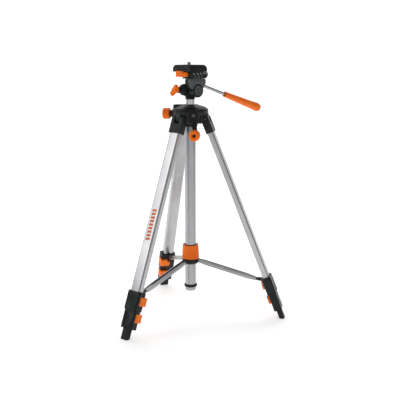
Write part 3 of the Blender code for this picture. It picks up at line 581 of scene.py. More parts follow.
# ----------------------------------------------------------------------------------------------------------
# Shoulder and centre tube
# ----------------------------------------------------------------------------------------------------------
crank_dir = polar(CRANK_AZIMUTH)
crank_off = polar(CRANK_AZIMUTH + 90)
crank_axis = crank_off * CRANK_OFFSET + UP * CRANK_Z
CRANK = frame(crank_axis, UP, crank_dir)
lock_dir = polar(LOCK_AZIMUTH)
LOCK = frame(UP * CRANK_Z, UP, lock_dir)

hat = [(0, SHOULDER_TOP), (0.0150, SHOULDER_TOP), (0.0153, 0.4068), (0.0172, 0.4066), (0.0270, 0.4035), (0.0325, 0.4003),
       (HAT_R, 0.3974), (HAT_R, 0.3921), (0.0333, 0.3917), (0.0333, HAT_BOTTOM), (0.0300, HAT_BOTTOM), (0.0300, 0.3905),
       (CORE_R, 0.3905), (CORE_R, CORE_BOTTOM), (SOCKET_R, CORE_BOTTOM - 0.0004), (SOCKET_R, 0.3682), (0.0132, SOCKET_BOTTOM),
       (0, SOCKET_BOTTOM)]
shoulder = turned(soft_profile(hat, 0.0009, 3), None, 72)
lock_block = block((0.0248, 0.0218, 0.0310), (0, 0, 0.0150), LOCK @ Matrix.Translation((0.0050, 0, 0)), 0.0018, 4)
join(shoulder, lock_block)
webs = turned(soft_profile([(0, HAT_BOTTOM + 0.0010), (SKIRT_R, HAT_BOTTOM + 0.0010), (SKIRT_R, 0.3760),
                            (SKIRT_R - 0.0025, CORE_BOTTOM), (0, CORE_BOTTOM)], 0.0012, 4), None, 72)
for az in LEG_AZIMUTHS:
    cut(webs, block((0.0400, 2 * LEG_CLEAR, 0.0400), (0.0155 + 0.0200, 0, 0.3800), frame((0, 0, 0), polar(az), UP)))
# shallow moulded panels with a raised rib between them on each web
for az in (330.0, 90.0, 210.0):
    for turn in (-13.5, 0.0, 13.5):
        place = frame((0, 0, 0), (0, 0, 1), polar(az + turn))
        cut(webs, flat([rounded(0.3772, 0.3872, -0.0026, 0.0026, 0.0008, 4)], SKIRT_R - 0.0013, SKIRT_R + 0.0040, place))
join(shoulder, webs)
join(shoulder, turned(soft_profile([(0, 0.0377), (0.0060, 0.0377), (0.0065, 0.0372), (0.0070, 0.0300), (0.0070, 0.0260),
                                    (0, 0.0260)], 0.0004), LOCK, 40))
join(shoulder, turned(soft_profile([(0, 0.0312), (0.0088, 0.0312), (0.0092, 0.0240), (0.0092, 0.0150), (0, 0.0150)], 0.0006),
                      CRANK, 48))
TONGUE_T = 0.0050
for az in LEG_AZIMUTHS:
    place = frame((0, 0, 0), polar(az), -polar(az + 90))
    outline = ([(0.0120, HAT_BOTTOM + 0.002), (0.0120, CORE_BOTTOM + 0.0005), (0.0200, CORE_BOTTOM + 0.0015)]
               + arc(LEG_PIVOT_R, LEG_PIVOT_Z, 0.0064, -90, 0, 10)
               + [(LEG_PIVOT_R + 0.0064 - 0.0022, HAT_BOTTOM + 0.002)])
    join(shoulder, flat([outline], -TONGUE_T, TONGUE_T, place))
cut(shoulder, rod(TUBE_R + GAP, SOCKET_BOTTOM - 0.01, TUBE_TOP + 0.0006))
cut(shoulder, rod(COLUMN_R + GAP, TUBE_TOP - 0.01, SHOULDER_TOP + 0.01))
cut(shoulder, rod(0.0120 + GAP, 0.4005, SHOULDER_TOP + 0.01))
cut(shoulder, rod(PINION_R + MODULE + 0.0003, -0.0028, 0.0028, CRANK, 32))
cut(shoulder, rod(0.0030 + GAP, -0.0075, 0.0400, CRANK, 32))
cut(shoulder, rod(0.0093, 0.0312, 0.0450, CRANK, 40))
cut(shoulder, rod(0.0027 + GAP, 0.0050, 0.0500, LOCK, 24))
# clamp slit beside the lock screw and a moulding recess on each face of the lock block
cut(shoulder, block((0.0300, 0.0010, 0.0160), (0.0100, 0, 0.0235), LOCK))
for side in (-1, 1):
    cut(shoulder, block((0.0150, 0.0016, 0.0110), (0.0055, side * 0.0109, 0.0225), LOCK, 0.0006, 2))
for az in LEG_AZIMUTHS:
    across = frame(leg_frame(az).translation, UP, polar(az + 90))
    cut(shoulder, rod(0.0018 + GAP, -0.0150, 0.0150, across, 24))
look("shoulder_housing", shoulder, BLACK, "shoulder", ["shoulder_casting"], 0.00045, 2)

collar = turned(soft_profile([(0.0104, SHOULDER_TOP + 0.0004), (0.0120, SHOULDER_TOP + 0.0001), (0.0120, 0.4008),
                              (COLUMN_R + 0.0002, 0.4008), (COLUMN_R + 0.0002, SHOULDER_TOP - 0.0004),
                              (0.0094, SHOULDER_TOP + 0.0003)], 0.0004), None, 64)
look("column_bush", collar, BLACK_SHINY, "shoulder", ["shoulder_collar"])
keep_node("crank_housing_cover", BLACK)

for i, az in enumerate(LEG_AZIMUTHS, 1):
    across = frame(leg_frame(az).translation, UP, polar(az + 90))
    pin = rod(0.0018, -0.0120, 0.0120, across, 32, 0.0003)
    for side in (-1, 1):
        end = across @ Matrix.Translation((0, 0, side * 0.0119)) @ (Matrix.Rotation(math.pi, 4, "X") if side < 0 else Matrix())
        join(pin, turned([(0, 0.0007), (0.0010, 0.0007), (0.0020, 0.0005), (0.0024, 0.0001), (0.0024, -0.0002), (0, -0.0002)],
                         end, 28))
    look("leg_%d_pivot_rivet" % i, pin, STEEL_DARK, "shoulder", ["leg_%d_hinge_pin" % i])

tube = turned([(TUBE_R, TUBE_TOP), (TUBE_R, TUBE_BOTTOM + 0.0001), (TUBE_IN_R, TUBE_BOTTOM + 0.0001), (TUBE_IN_R, TUBE_TOP)],
              None, 96)
look("centre_tube", tube, ALUMINIUM_MID, "shoulder", ["center_tube"])
stop = turned(soft_profile([(0.0120, 0.0585), (0.0126, 0.0575), (0.0127, 0.0560), (0.0126, 0.0544), (0.0120, 0.0533),
                            (TUBE_R + 0.0001, 0.0533), (TUBE_R + 0.0001, 0.0585)], 0.0005), None, 64)
look("stop_ring", stop, BLACK_SHINY, "shoulder", ["tube_stop_ring"])
cap = turned(soft_profile([(0, 0.0545), (TUBE_IN_R - GAP, 0.0545), (TUBE_IN_R - GAP, TUBE_BOTTOM), (TUBE_R, TUBE_BOTTOM),
                           (TUBE_R - 0.0001, 0.0474), (0.0098, 0.0462), (0.0086, 0.0458), (0.0060, 0.0458), (0.0054, 0.0464),
                           (0.0022, 0.0464), (0.0018, 0.0460), (0, 0.0460)], 0.0006, sharp=(2, 3)), None, 64)
look("tube_end_plug", cap, ALUMINIUM, "shoulder", ["tube_end_cap"])

# ----------------------------------------------------------------------------------------------------------
# Column, crank and column lock
# ----------------------------------------------------------------------------------------------------------
column = turned([(COLUMN_R, COLUMN_TOP), (COLUMN_R, COLUMN_BOTTOM), (COLUMN_IN_R, COLUMN_BOTTOM), (COLUMN_IN_R, COLUMN_TOP)],
                None, 96)
RACK_Z0, RACK_Z1 = 0.1830, 0.3965
cut(column, block((RACK_Z1 - RACK_Z0 + 0.0006, 0.0100, 0.0054), ((RACK_Z0 + RACK_Z1) / 2, 0, 0),
                  frame(crank_off * 0.0100, UP, crank_dir)))
look("geared_column", column, CHROME, "column", ["column_tube"])
keep_node("column_rack", BLACK_SHINY)
keep_node("head_neck", BLACK)
keep_node("crank_shaft", STEEL)

ARM = CRANK @ Matrix.Rotation(math.atan2(CRANK_LEAN, CRANK_DROP), 4, "Z")
ARM_LENGTH = math.hypot(CRANK_DROP, CRANK_LEAN)
SIDE = frame((0, 0, 0), (1, 0, 0), (0, -1, 0))
dish_in = [(0.0054, 0.0340), (-0.0040, 0.0340), (-0.0060, 0.0346), (-0.0215, 0.0462), (-0.0235, 0.0468), (-0.0390, 0.0468)]
dish_out = [(-0.0390, 0.0504), (-0.0220, 0.0504), (-0.0200, 0.0498), (-0.0052, 0.0390), (-0.0040, 0.0386), (0.0054, 0.0386)]
arm = flat([dish_in + dish_out], -0.0060, 0.0060, ARM @ SIDE)
keep(arm, flat([arc(0, 0, 0.0054, -68, 68, 14) + arc(-ARM_LENGTH, 0, 0.0043, 112, 248, 14)], 0.0300, 0.0560, ARM))
cut(arm, rod(0.0030 + GAP, 0.0300, 0.0450, CRANK, 24))
PIN = CRANK @ Matrix.Translation((-CRANK_DROP, -CRANK_LEAN, 0))
join(arm, rod(0.0022, 0.0490, 0.0641, PIN, 24, 0.0004))
look("crank_lever", arm, BLACK, "crank", ["crank_arm"], 0.0007, 3)
screw("crank_hub_screw", CRANK @ Matrix.Translation((0, 0, 0.0386)), 0.0029, 0.0013, "crank")

knob_profile = [(0.0034, 0.0601), (0.0034, 0.0655), (0.0040, 0.0664), (0.0076, 0.0666), (0.0091, 0.0657), (0.0098, 0.0634),
                (0.0100, 0.0605), (0.0099, 0.0545), (0.0096, 0.0524), (0.0088, 0.0511), (0.0078, 0.0508),
                (0.0022 + GAP, 0.0508), (0.0022 + GAP, 0.0601)]
knob = turned(soft_profile(knob_profile, 0.0005), PIN, 72)
look("crank_handle", knob, ORANGE, "crank_knob", ["crank_knob"])

lock = turned(soft_profile([(0, 0.0508), (0.0052, 0.0508), (0.0056, 0.0518), (0.0088, 0.0518), (0.0100, 0.0508),
                            (0.0103, 0.0490), (0.0103, 0.0400), (0.0097, 0.0386), (0.0080, 0.0382), (0.0027, 0.0382),
                            (0.0027, 0.0089), (0, 0.0089)], 0.0005), LOCK, 96)
# finger flutes round the lock knob
for k in range(12):
    a = math.radians(30 * k + 8)
    flute = rod(0.0014, 0.0370, 0.0530, LOCK @ Matrix.Translation((0.0112 * math.cos(a), 0.0112 * math.sin(a), 0)), 16)
    cut(lock, flute)
look("column_lock", lock, ORANGE, "column_lock_knob", ["column_lock_knob"], 0.0003, 2)

# ----------------------------------------------------------------------------------------------------------
# Head.  u is the tilt axis, v points along the handle.
# ----------------------------------------------------------------------------------------------------------
U = polar(HEAD_AZIMUTH - 90)
V = polar(HEAD_AZIMUTH)
HEAD = frame((0, 0, 0), U, UP)
TILT = frame(UP * TILT_Z, V, U)
LOCKV = frame(UP * 0.4350, UP, -V)

post = turned(soft_profile([(0, 0.4330), (0.0110, 0.4330), (0.0115, 0.4240), (0.0106, 0.4226), (0.0090, 0.4214),
                            (0.0090, 0.4190), (0.0094, 0.4184), (0.0094, NECK_Z + 0.0001), (0, NECK_Z + 0.0001)], 0.0006), None, 64)
join(post, rod(0.0105, -0.0120, 0.0062, TILT, 64, 0.0008))
join(post, turned(soft_profile([(0, 0.0245), (0.0048, 0.0245), (0.0095, 0.0202), (0.0107, 0.0168), (0.0107, 0.0150),
                                (0.0102, 0.0146), (0.0102, 0.0134), (0.0107, 0.0130), (0.0107, -0.0020), (0, -0.0020)], 0.0005),
                  LOCKV, 72))
cut(post, block((0.0400, 0.0900, 0.0400), (0.0200 + 0.0062, 0, 0.0200 + 0.4206), HEAD))
cut(post, rod(0.0050 + GAP, 0.4100, 0.4289, None, 32))
cut(post, rod(0.0030 + GAP, -0.0300, 0.0300, TILT, 32))
cut(post, rod(0.0025 + GAP, 0.0050, 0.0400, LOCKV, 24))
look("pan_housing", post, BLACK, "pan", ["pan_base"], 0.0004, 2)

wing = turned(soft_profile([(0, 0.0425), (0.0038, 0.0425), (0.0050, 0.0412), (0.0051, 0.0325), (0.0046, 0.0313),
                            (0.0045, 0.0249), (0.0025, 0.0249), (0.0025, 0.0060), (0, 0.0060)], 0.0005), LOCKV, 48)
for side in (0, 180):
    w = LOCKV @ Matrix.Rotation(math.radians(-40.0 + side), 4, "Z")
    lobe = [(0.0018, 0.0332), (0.0055, 0.0338), (0.0082, 0.0346), (0.0104, 0.0358), (0.0115, 0.0374), (0.0119, 0.0395),
            (0.0114, 0.0414), (0.0104, 0.0427), (0.0088, 0.0433), (0.0062, 0.0432), (0.0018, 0.0424)]
    join(wing, flat([lobe], -0.0026, 0.0026, w @ SIDE))
look("pan_lock_wing", wing, ORANGE, "pan_lock_knob", ["pan_lock_knob"], 0.0012, 4)
look("pan_lock_sleeve", turned(soft_profile([(0.0040, 0.0316), (0.0053, 0.0316), (0.0055, 0.0300), (0.0055, 0.0264), (0.0050, 0.0250),
                                             (0.0040, 0.0250)], 0.0004), LOCKV, 48), BLACK, "pan_lock_knob")

keep_node("tilt_axle", STEEL)
def bracket_outline(inset=0.0):
    pts = [(-0.0180, 0.0215), (-0.0188, 0.0150), (-0.0165, 0.0085)] + arc(0, 0, 0.0122, 165, 375, 48)
    pts += [(0.0165, 0.0085), (0.0190, 0.0145), (0.0190, 0.0175), (0.0180, 0.0203), (0.0165, 0.0215)]
    return [(x * (1 - inset / 0.019), y * (1 - inset / 0.019)) for x, y in pts]


bracket = flat([bracket_outline()], 0.0066, 0.0142, TILT)
front = flat([bracket_outline()], 0.0143, 0.0222, TILT)
join(front, flat([bracket_outline(0.0012)], 0.0136, 0.0150, TILT))
cut(bracket, flat([bracket_outline(0.0010)], 0.0132, 0.0150, TILT))
HANDLE_DIR = (V * math.cos(math.radians(HANDLE_SLOPE)) - UP * math.sin(math.radians(HANDLE_SLOPE)))
HANDLE = frame(U * HANDLE_U + V * 0.0244 + UP * 0.4409, U, HANDLE_DIR)
for piece in (bracket, front):
    cut(piece, rod(0.0030 + GAP, 0.0000, 0.0300, TILT, 32))
    cut(piece, rod(0.0030 + GAP, -0.0200, 0.0200, HANDLE, 32))
cut(front, rod(0.0095, 0.0187, 0.0300, TILT, 56))
look("tilt_bracket", front, GREY, "tilt", ["tilt_body"], 0.0013, 4)
look("tilt_bracket_back", bracket, BLACK, "tilt", None, 0.0009, 3)
# black rim round the tilt cover, and the cover itself with its moulded ring and slot
rim = turned(soft_profile([(0.0094, 0.0233), (0.0110, 0.0233), (0.0122, 0.0227), (0.0126, 0.0212), (0.0126, 0.0152),
                           (0.0118, 0.0152), (0.0118, 0.0192), (0.0094, 0.0196)], 0.0005), TILT, 80)
look("tilt_cover_rim", rim, BLACK_SHINY, "tilt")
disc = turned(soft_profile([(0, 0.0226), (0.0070, 0.0226), (0.0074, 0.0231), (0.0086, 0.0232), (0.0092, 0.0226),
                            (0.0093, 0.0218), (0.0093, 0.0208), (0, 0.0208)], 0.0003), TILT, 80)
for k in range(-4, 5):
    half = math.sqrt(0.0066 ** 2 - (0.0015 * k) ** 2)
    cut(disc, block((0.0007, 2 * half, 0.0010), (k * 0.0015, 0, 0.0226), TILT))
look("tilt_cap", disc, GREY, "tilt", ["tilt_cover"], 0.0002, 2)

# platform tray with its comb of ribs on the outer face
tray = block((0.0365, 0.0385, 0.0115), (0.00545, 0.00205, 0.46105), HEAD, 0.0022, 4)
cut(tray, block((0.0300, 0.0600, 0.0200), (0.0068 - 0.0150, 0, 0.4592 - 0.0100), HEAD))
join(tray, block((0.0100, 0.0375, 0.0030), (0.0185, 0.00225, 0.4655), HEAD, 0.0006, 2))
cut(tray, flat([rounded(-0.0095, 0.0195, -0.0125, 0.0135, 0.0010, 4)], 0.4625, 0.4700, HEAD))
LEVER_PIVOT = HEAD @ Matrix.Translation((0.0085, -0.0190, 0.0))
cut(tray, rod(0.0061, 0.4585, 0.4705, LEVER_PIVOT, 40))
lobe = rod(0.0054, 0.4556, 0.4582, LEVER_PIVOT, 40)
join(lobe, rod(0.0015, 0.4570, 0.4662, LEVER_PIVOT, 24))
join(tray, lobe)
cut(tray, flat([[(0.0172, 0.4540), (0.0260, 0.4540), (0.0260, 0.4640), (0.0222, 0.4592), (0.0204, 0.4570), (0.0186, 0.4557)]],
               -0.0300, 0.0300, frame((0, 0, 0), V, U)))
TEETH = (-0.0127, -0.0034, 0.0044, 0.0122, 0.0190)
FINGERS = (-0.0082, 0.0004, 0.0082)
for v in FINGERS:
    cut(tray, block((0.0030, 0.0052, 0.0098), (0.0237, v, 0.4585), HEAD))
for v in TEETH[3:]:
    cut(tray, block((0.0024, 0.0030, 0.0060), (0.0240, v, 0.4585), HEAD, 0.0005, 2))
look("head_tray", tray, BLACK, "tilt", ["platform"], 0.0004, 2)
combs = [block((0.0018, 0.0026, 0.0090), (0.0230, v, 0.4582), HEAD, 0.0005, 3) for v in FINGERS]
look("bracket_comb", lump(*combs), GREY, "tilt", None)
# the teeth are coloured pale grey as a painted highlight on their tops; like the tray, they are black moulding
teeth = [block((0.0014, 0.0036, 0.0026), (0.0239, v, 0.4645), HEAD, 0.0005, 3) for v in TEETH]
look("tray_teeth", lump(*teeth), TEETH_HIGHLIGHT_GREY, "tilt", None)
# rounded bumper on the side of the tray away from the lever
bumper = flat([[(0.0150, 0.4556), (0.0186, 0.4558), (0.0207, 0.4570), (0.0224, 0.4592), (0.0234, 0.4618), (0.0236, 0.4645),
                (0.0230, 0.4660), (0.0218, 0.4667), (0.0170, 0.4667)]], -0.0110, 0.0232, frame((0, 0, 0), V, U))
cut(bumper, block((0.0340, 0.0300, 0.0300), (0.0060, 0.0062, 0.4610), HEAD))
look("tray_bumper", bumper, BLACK, "tilt", None, 0.0012, 3)
spring = block((0.0075, 0.0016, 0.0016), (0.0035, -0.0209, 0.4683), HEAD, 0.0005, 3)
look("latch_plate", spring, STEEL, "tilt", None)

lever = rod(0.0056, 0.4590, 0.4667, LEVER_PIVOT, 48)
lever_plan = (arc(0.0066, -0.0250, 0.0022, -90, 10, 6) + [(0.0088, -0.0190), (0.0030, -0.0180), (-0.0092, -0.0180)]
              + [(-0.0106, -0.0205)] + arc(-0.0084, -0.0250, 0.0022, 180, 270, 6))
join(lever, flat([lever_plan], 0.4592, 0.4665, HEAD))
thumb = ([(0.0066, -0.0217)] + arc(0.0050, -0.0254, 0.0016, 0, -90, 5) + arc(-0.0084, -0.0250, 0.0020, 270, 180, 6)
         + [(-0.0104, -0.0217)])
join(lever, flat([thumb], 0.4585, 0.4692, HEAD))
cut(lever, rod(0.0018, 0.4550, 0.4740, LEVER_PIVOT, 24))
look("quick_release_lever", lever, ORANGE, "release_lever", ["release_lever"], 0.0009, 3)

plate = link("plate", loft([rounded(-0.0260, 0.0240, -0.0208, 0.0221, 0.0036, 8), rounded(-0.0266, 0.0245, -0.0213, 0.0226, 0.0040, 8),
                            rounded(-0.0266, 0.0245, -0.0213, 0.0226, 0.0040, 8), rounded(-0.0262, 0.0242, -0.0212, 0.0224, 0.0040, 8),
                            rounded(-0.0250, 0.0233, -0.0210, 0.0216, 0.0038, 8), rounded(-0.0236, 0.0224, -0.0206, 0.0207, 0.0034, 8),
                            rounded(-0.0230, 0.0218, -0.0202, 0.0202, 0.0032, 8)],
                           [0.4674, 0.4680, 0.4736, 0.4746, 0.4766, 0.4781, 0.4784]), HEAD)
join(plate, flat([[(-0.0091, -0.0121), (0.0191, -0.0121), (0.0191, 0.0131), (-0.0091, 0.0131)]], 0.4629, 0.4690, HEAD))
SCREW = HEAD @ Matrix.Translation((0.0, -0.0026, 0.0))
cut(plate, rod(0.0034, 0.4500, 0.4900, SCREW, 32))
cut(plate, rod(0.0092, 0.4600, 0.4662, SCREW, 48))
cut(plate, flat([rounded(-0.0290, 0.0270, -0.0240, 0.0250, 0.0044, 8), rounded(-0.0260, 0.0239, -0.0207, 0.0220, 0.0034, 8)],
                0.4709, 0.4714, HEAD))
look("release_plate", plate, BLACK, "plate", ["quick_release_plate"], 0.0005, 2)
pad = flat([rounded(-0.0221, 0.0211, -0.0194, 0.0194, 0.0028, 8)], 0.4785, 0.4800, HEAD)
cut(pad, rod(0.0050, 0.4600, 0.4900, SCREW, 48))
for k in range(-6, 7):
    cut(pad, block((0.0500, 0.0006, 0.0010), (0, 0.0030 * k, 0.4800), HEAD))
look("plate_cushion", pad, CORK, "plate", ["plate_pad"], 0.0002, 1)

bolt = turned(soft_profile([(0, 0.4855), (0.0024, 0.4855), (0.0030, 0.4849), (0.0031, 0.4845), (0.0031, 0.4659), (0.0084, 0.4659),
                            (0.0088, 0.4655), (0.0088, 0.4637), (0.0084, 0.4632), (0, 0.4632)], 0.0002), SCREW, 48)
look("mounting_screw", bolt, STEEL, "camera_screw", ["camera_screw"])
threads = []
for k in range(5):
    z = 0.4803 + 0.00105 * k
    threads.append(turned([(0.0030, z - 0.0003), (0.0033, z), (0.0030, z + 0.0003)] + [(0.0028, z + 0.0003), (0.0028, z - 0.0003)],
                          SCREW, 40))
look("mounting_screw_thread", lump(*threads), STEEL, "camera_screw")

look("pan_handle_rod", rod(0.0030, -0.0190, 0.0700, HANDLE, 56), CHROME_ROD, "handle", ["handle_rod"])
grip = turned(soft_profile([(0, 0.1600), (0.0040, 0.1597), (0.0066, 0.1583), (0.0080, 0.1558), (0.0085, 0.1520), (0.0084, 0.1470),
                            (0.0075, 0.1330), (0.0063, 0.0900), (0.0055, 0.0640), (0.0053, 0.0600), (0.0055, 0.0596), (0.0055, 0.0566),
                            (0.0050, 0.0558), (0.0031, 0.0558), (0.0031, 0.0703), (0, 0.0703)], 0.0008), HANDLE, 72)
# shallow grip flutes
for k in range(6):
    a = math.radians(60 * k + 30)
    base = HANDLE @ Matrix.Rotation(a, 4, "Z")
    f = flat([[(0.0600 + 0.0900 * i / 12, 0.0052 + 0.0036 * i / 12 - 0.0006 * math.sin(math.pi * i / 12)) for i in range(13)]
              + [(0.1500, 0.0110), (0.0600, 0.0110)]], -0.0007, 0.0007,
             base @ frame((0, 0, 0), (0, 0, 1), (0, -1, 0)))
    cut(grip, f)
look("pan_handle_grip", grip, ORANGE, "handle", ["handle_grip"], 0.0002, 1, reframe=Matrix())

# ----------------------------------------------------------------------------------------------------------
# Spreader
# ----------------------------------------------------------------------------------------------------------
hub = turned(soft_profile([(0.0158, 0.1106), (0.0163, 0.1101), (0.0163, 0.1034), (0.0149, 0.1014), (0.0122, 0.1014),
                           (0.0120, 0.1009), (0.0120, 0.1003), (0.0117, 0.1000), (TUBE_R + GAP, 0.1000),
                           (TUBE_R + GAP, 0.1106)], 0.0004), None, 72)
for az in LEG_AZIMUTHS:
    cut(hub, block((0.0200, 0.0113, 0.0200), (0.0121 + 0.0100, 0, 0.1093 - 0.0100), frame((0, 0, 0), polar(az), UP)))
LUG_T = 0.0029
for az in LEG_AZIMUTHS:
    place = frame((0, 0, 0), polar(az), -polar(az + 90))
    outline = ([(0.0115, 0.1099), (0.0115, HUB_PIVOT_Z - 0.0024)]
               + arc(HUB_PIVOT_R, HUB_PIVOT_Z, 0.0024, -90, 60, 12) + [(0.0155, 0.1099)])
    lug = flat([outline], -LUG_T, LUG_T, place)
    join(lug, rod(0.0012, -0.0053, 0.0053, frame(polar(az, HUB_PIVOT_R, HUB_PIVOT_Z), UP, polar(az + 90)), 20, 0.0002))
    join(hub, lug)
look("spreader_hub", hub, BLACK, "hub", ["brace_hub"], 0.0003, 2)


def wave(radius, depth, count, per=8):
    out = []
    for k in range(count * per):
        a = 2 * math.pi * k / (count * per)
        f = 0.5 + 0.5 * math.cos(count * a)
        out.append(((radius - depth * (1 - f) ** 2) * math.cos(a), (radius - depth * (1 - f) ** 2) * math.sin(a)))
    return out


RIBS = 30
levels = [(0.0150, 0.0000, 0.1109), (0.0161, 0.0001, 0.1110), (0.0166, 0.0001, 0.1114), (0.0166, 0.0001, 0.1128),
          (0.0164, 0.0007, 0.1136), (0.0158, 0.0007, 0.1250), (0.0153, 0.0007, 0.1352), (0.0154, 0.0001, 0.1360),
          (0.0154, 0.0001, 0.1372), (0.0151, 0.0001, 0.1379), (0.0146, 0.0000, 0.1380)]
nut = link("nut", loft([wave(r, d, RIBS) for r, d, z in levels], [z for r, d, z in levels]))
cut(nut, rod(TUBE_R + GAP, 0.1000, 0.1500, None, 72))
cut(nut, turned([(0, 0.1400), (0.0139, 0.1400), (0.0133, 0.1356), (0, 0.1350)], None, 72))
# black ring laid in the nut's recess as painted shade: it stands in for the shadow inside the recess, not for a seal
look("spreader_nut_painted_shade_ring", turned(soft_profile([(TUBE_R + 0.0005, 0.1372), (0.0124, 0.1372), (0.0130, 0.1366), (0.0130, 0.1340),
                                               (TUBE_R + 0.0005, 0.1340)], 0.0003), None, 72), BLACK_SHINY, "hub_lock_nut")
look("spreader_lock_nut", nut, ORANGE, "hub_lock_nut", ["hub_lock_nut"], 0.0, 2, smooth=50.0)

for i, az in enumerate(LEG_AZIMUTHS, 1):
    e = polar(az)
    out = e * math.cos(BRACE_ANGLE) - UP * math.sin(BRACE_ANGLE)
    place = frame(polar(az, HUB_PIVOT_R, HUB_PIVOT_Z), out, -polar(az + 90))
    h = BRACE_H / 2
    side = (arc(0, 0, BRACE_END / 2, 90, 270, 16) + [(0.0070, -BRACE_END / 2 - 0.0002), (0.0140, -h), (BRACE_LENGTH - 0.0140, -h)]
            + arc(BRACE_LENGTH, 0, 0.0024, -90, 90, 14) + [(BRACE_LENGTH - 0.0140, h), (0.0140, h)])
    bar = flat([side], -BRACE_W / 2, BRACE_W / 2, place)
    inside = BRACE_W / 2 - BRACE_WALL
    cut(bar, block((BRACE_LENGTH + 0.02, BRACE_H, 2 * inside), (BRACE_LENGTH / 2, BRACE_WALL, 0), place))
    cut(bar, block((0.0180, 0.0200, 2 * inside), (0.0020, 0, 0), place))
    cut(bar, block((0.0300, 0.0200, 2 * inside), (BRACE_LENGTH - 0.0090, 0, 0), place))
    cut(bar, rod(0.0012 + GAP, -0.01, 0.01, place, 24))
    look("spreader_arm_%d" % i, bar, ALUMINIUM_X, "brace_%d" % i, ["brace_%d" % i], 0.0003, 2, reframe=place)

# ----------------------------------------------------------------------------------------------------------
# Legs
# ----------------------------------------------------------------------------------------------------------


def tube_loop(w, t, r=0.0022, n=8):
    return rounded(-w / 2, w / 2, -t / 2, t / 2, r, n)


def lever_solid(pin, barrel, side_in, side_out, face_in, face_out, free, s0, s1, place, notch):
    px, py = pin
    out = ([(side_in, py), (side_in, face_in), (free, face_in), (free, face_out + 0.0014)]
           + arc(free + 0.0014, face_out + 0.0014, 0.0014, 180, 270, 5)[1:]
           + arc(side_out - 0.0042, face_out + 0.0042, 0.0042, 270, 360, 8) + [(side_out, py)]
           + arc(px, py, barrel, 5, 175, 14))
    obj = flat([out], s0, s1, place)
    # the free end's corners are rounded, the lower one more than the upper
    r0 = 0.0062
    plan = ([(0.0250, s0 - 0.0010), (0.0250, s1 + 0.0010)]
            + [(free + r0 * 0.5, s1 + 0.0010)] + arc(free - 0.0001 + r0 * 0.5, s1 - r0 * 0.5, r0 * 0.5, 90, 180, 8)
            + arc(free - 0.0001 + r0, s0 + r0, r0, 180, 270, 10) + [(free + r0, s0 - 0.0010)])
    yz = place @ Matrix(((1, 0, 0, 0), (0, 0, -1, 0), (0, 1, 0, 0), (0, 0, 0, 1)))
    keep(obj, flat([plan], -0.0300, 0.0300, yz))
    if notch:
        cut(obj, block((notch[0] - free + 0.01, 0.02, notch[1] - s0 + 0.01),
                       ((notch[0] + free - 0.01) / 2, face_in - 0.005, (notch[1] + s0 - 0.01) / 2), place))
    cut(obj, rod(0.0014, s0 - 0.01, s1 + 0.01, place @ Matrix.Translation((px, py, 0)), 20))
    return obj


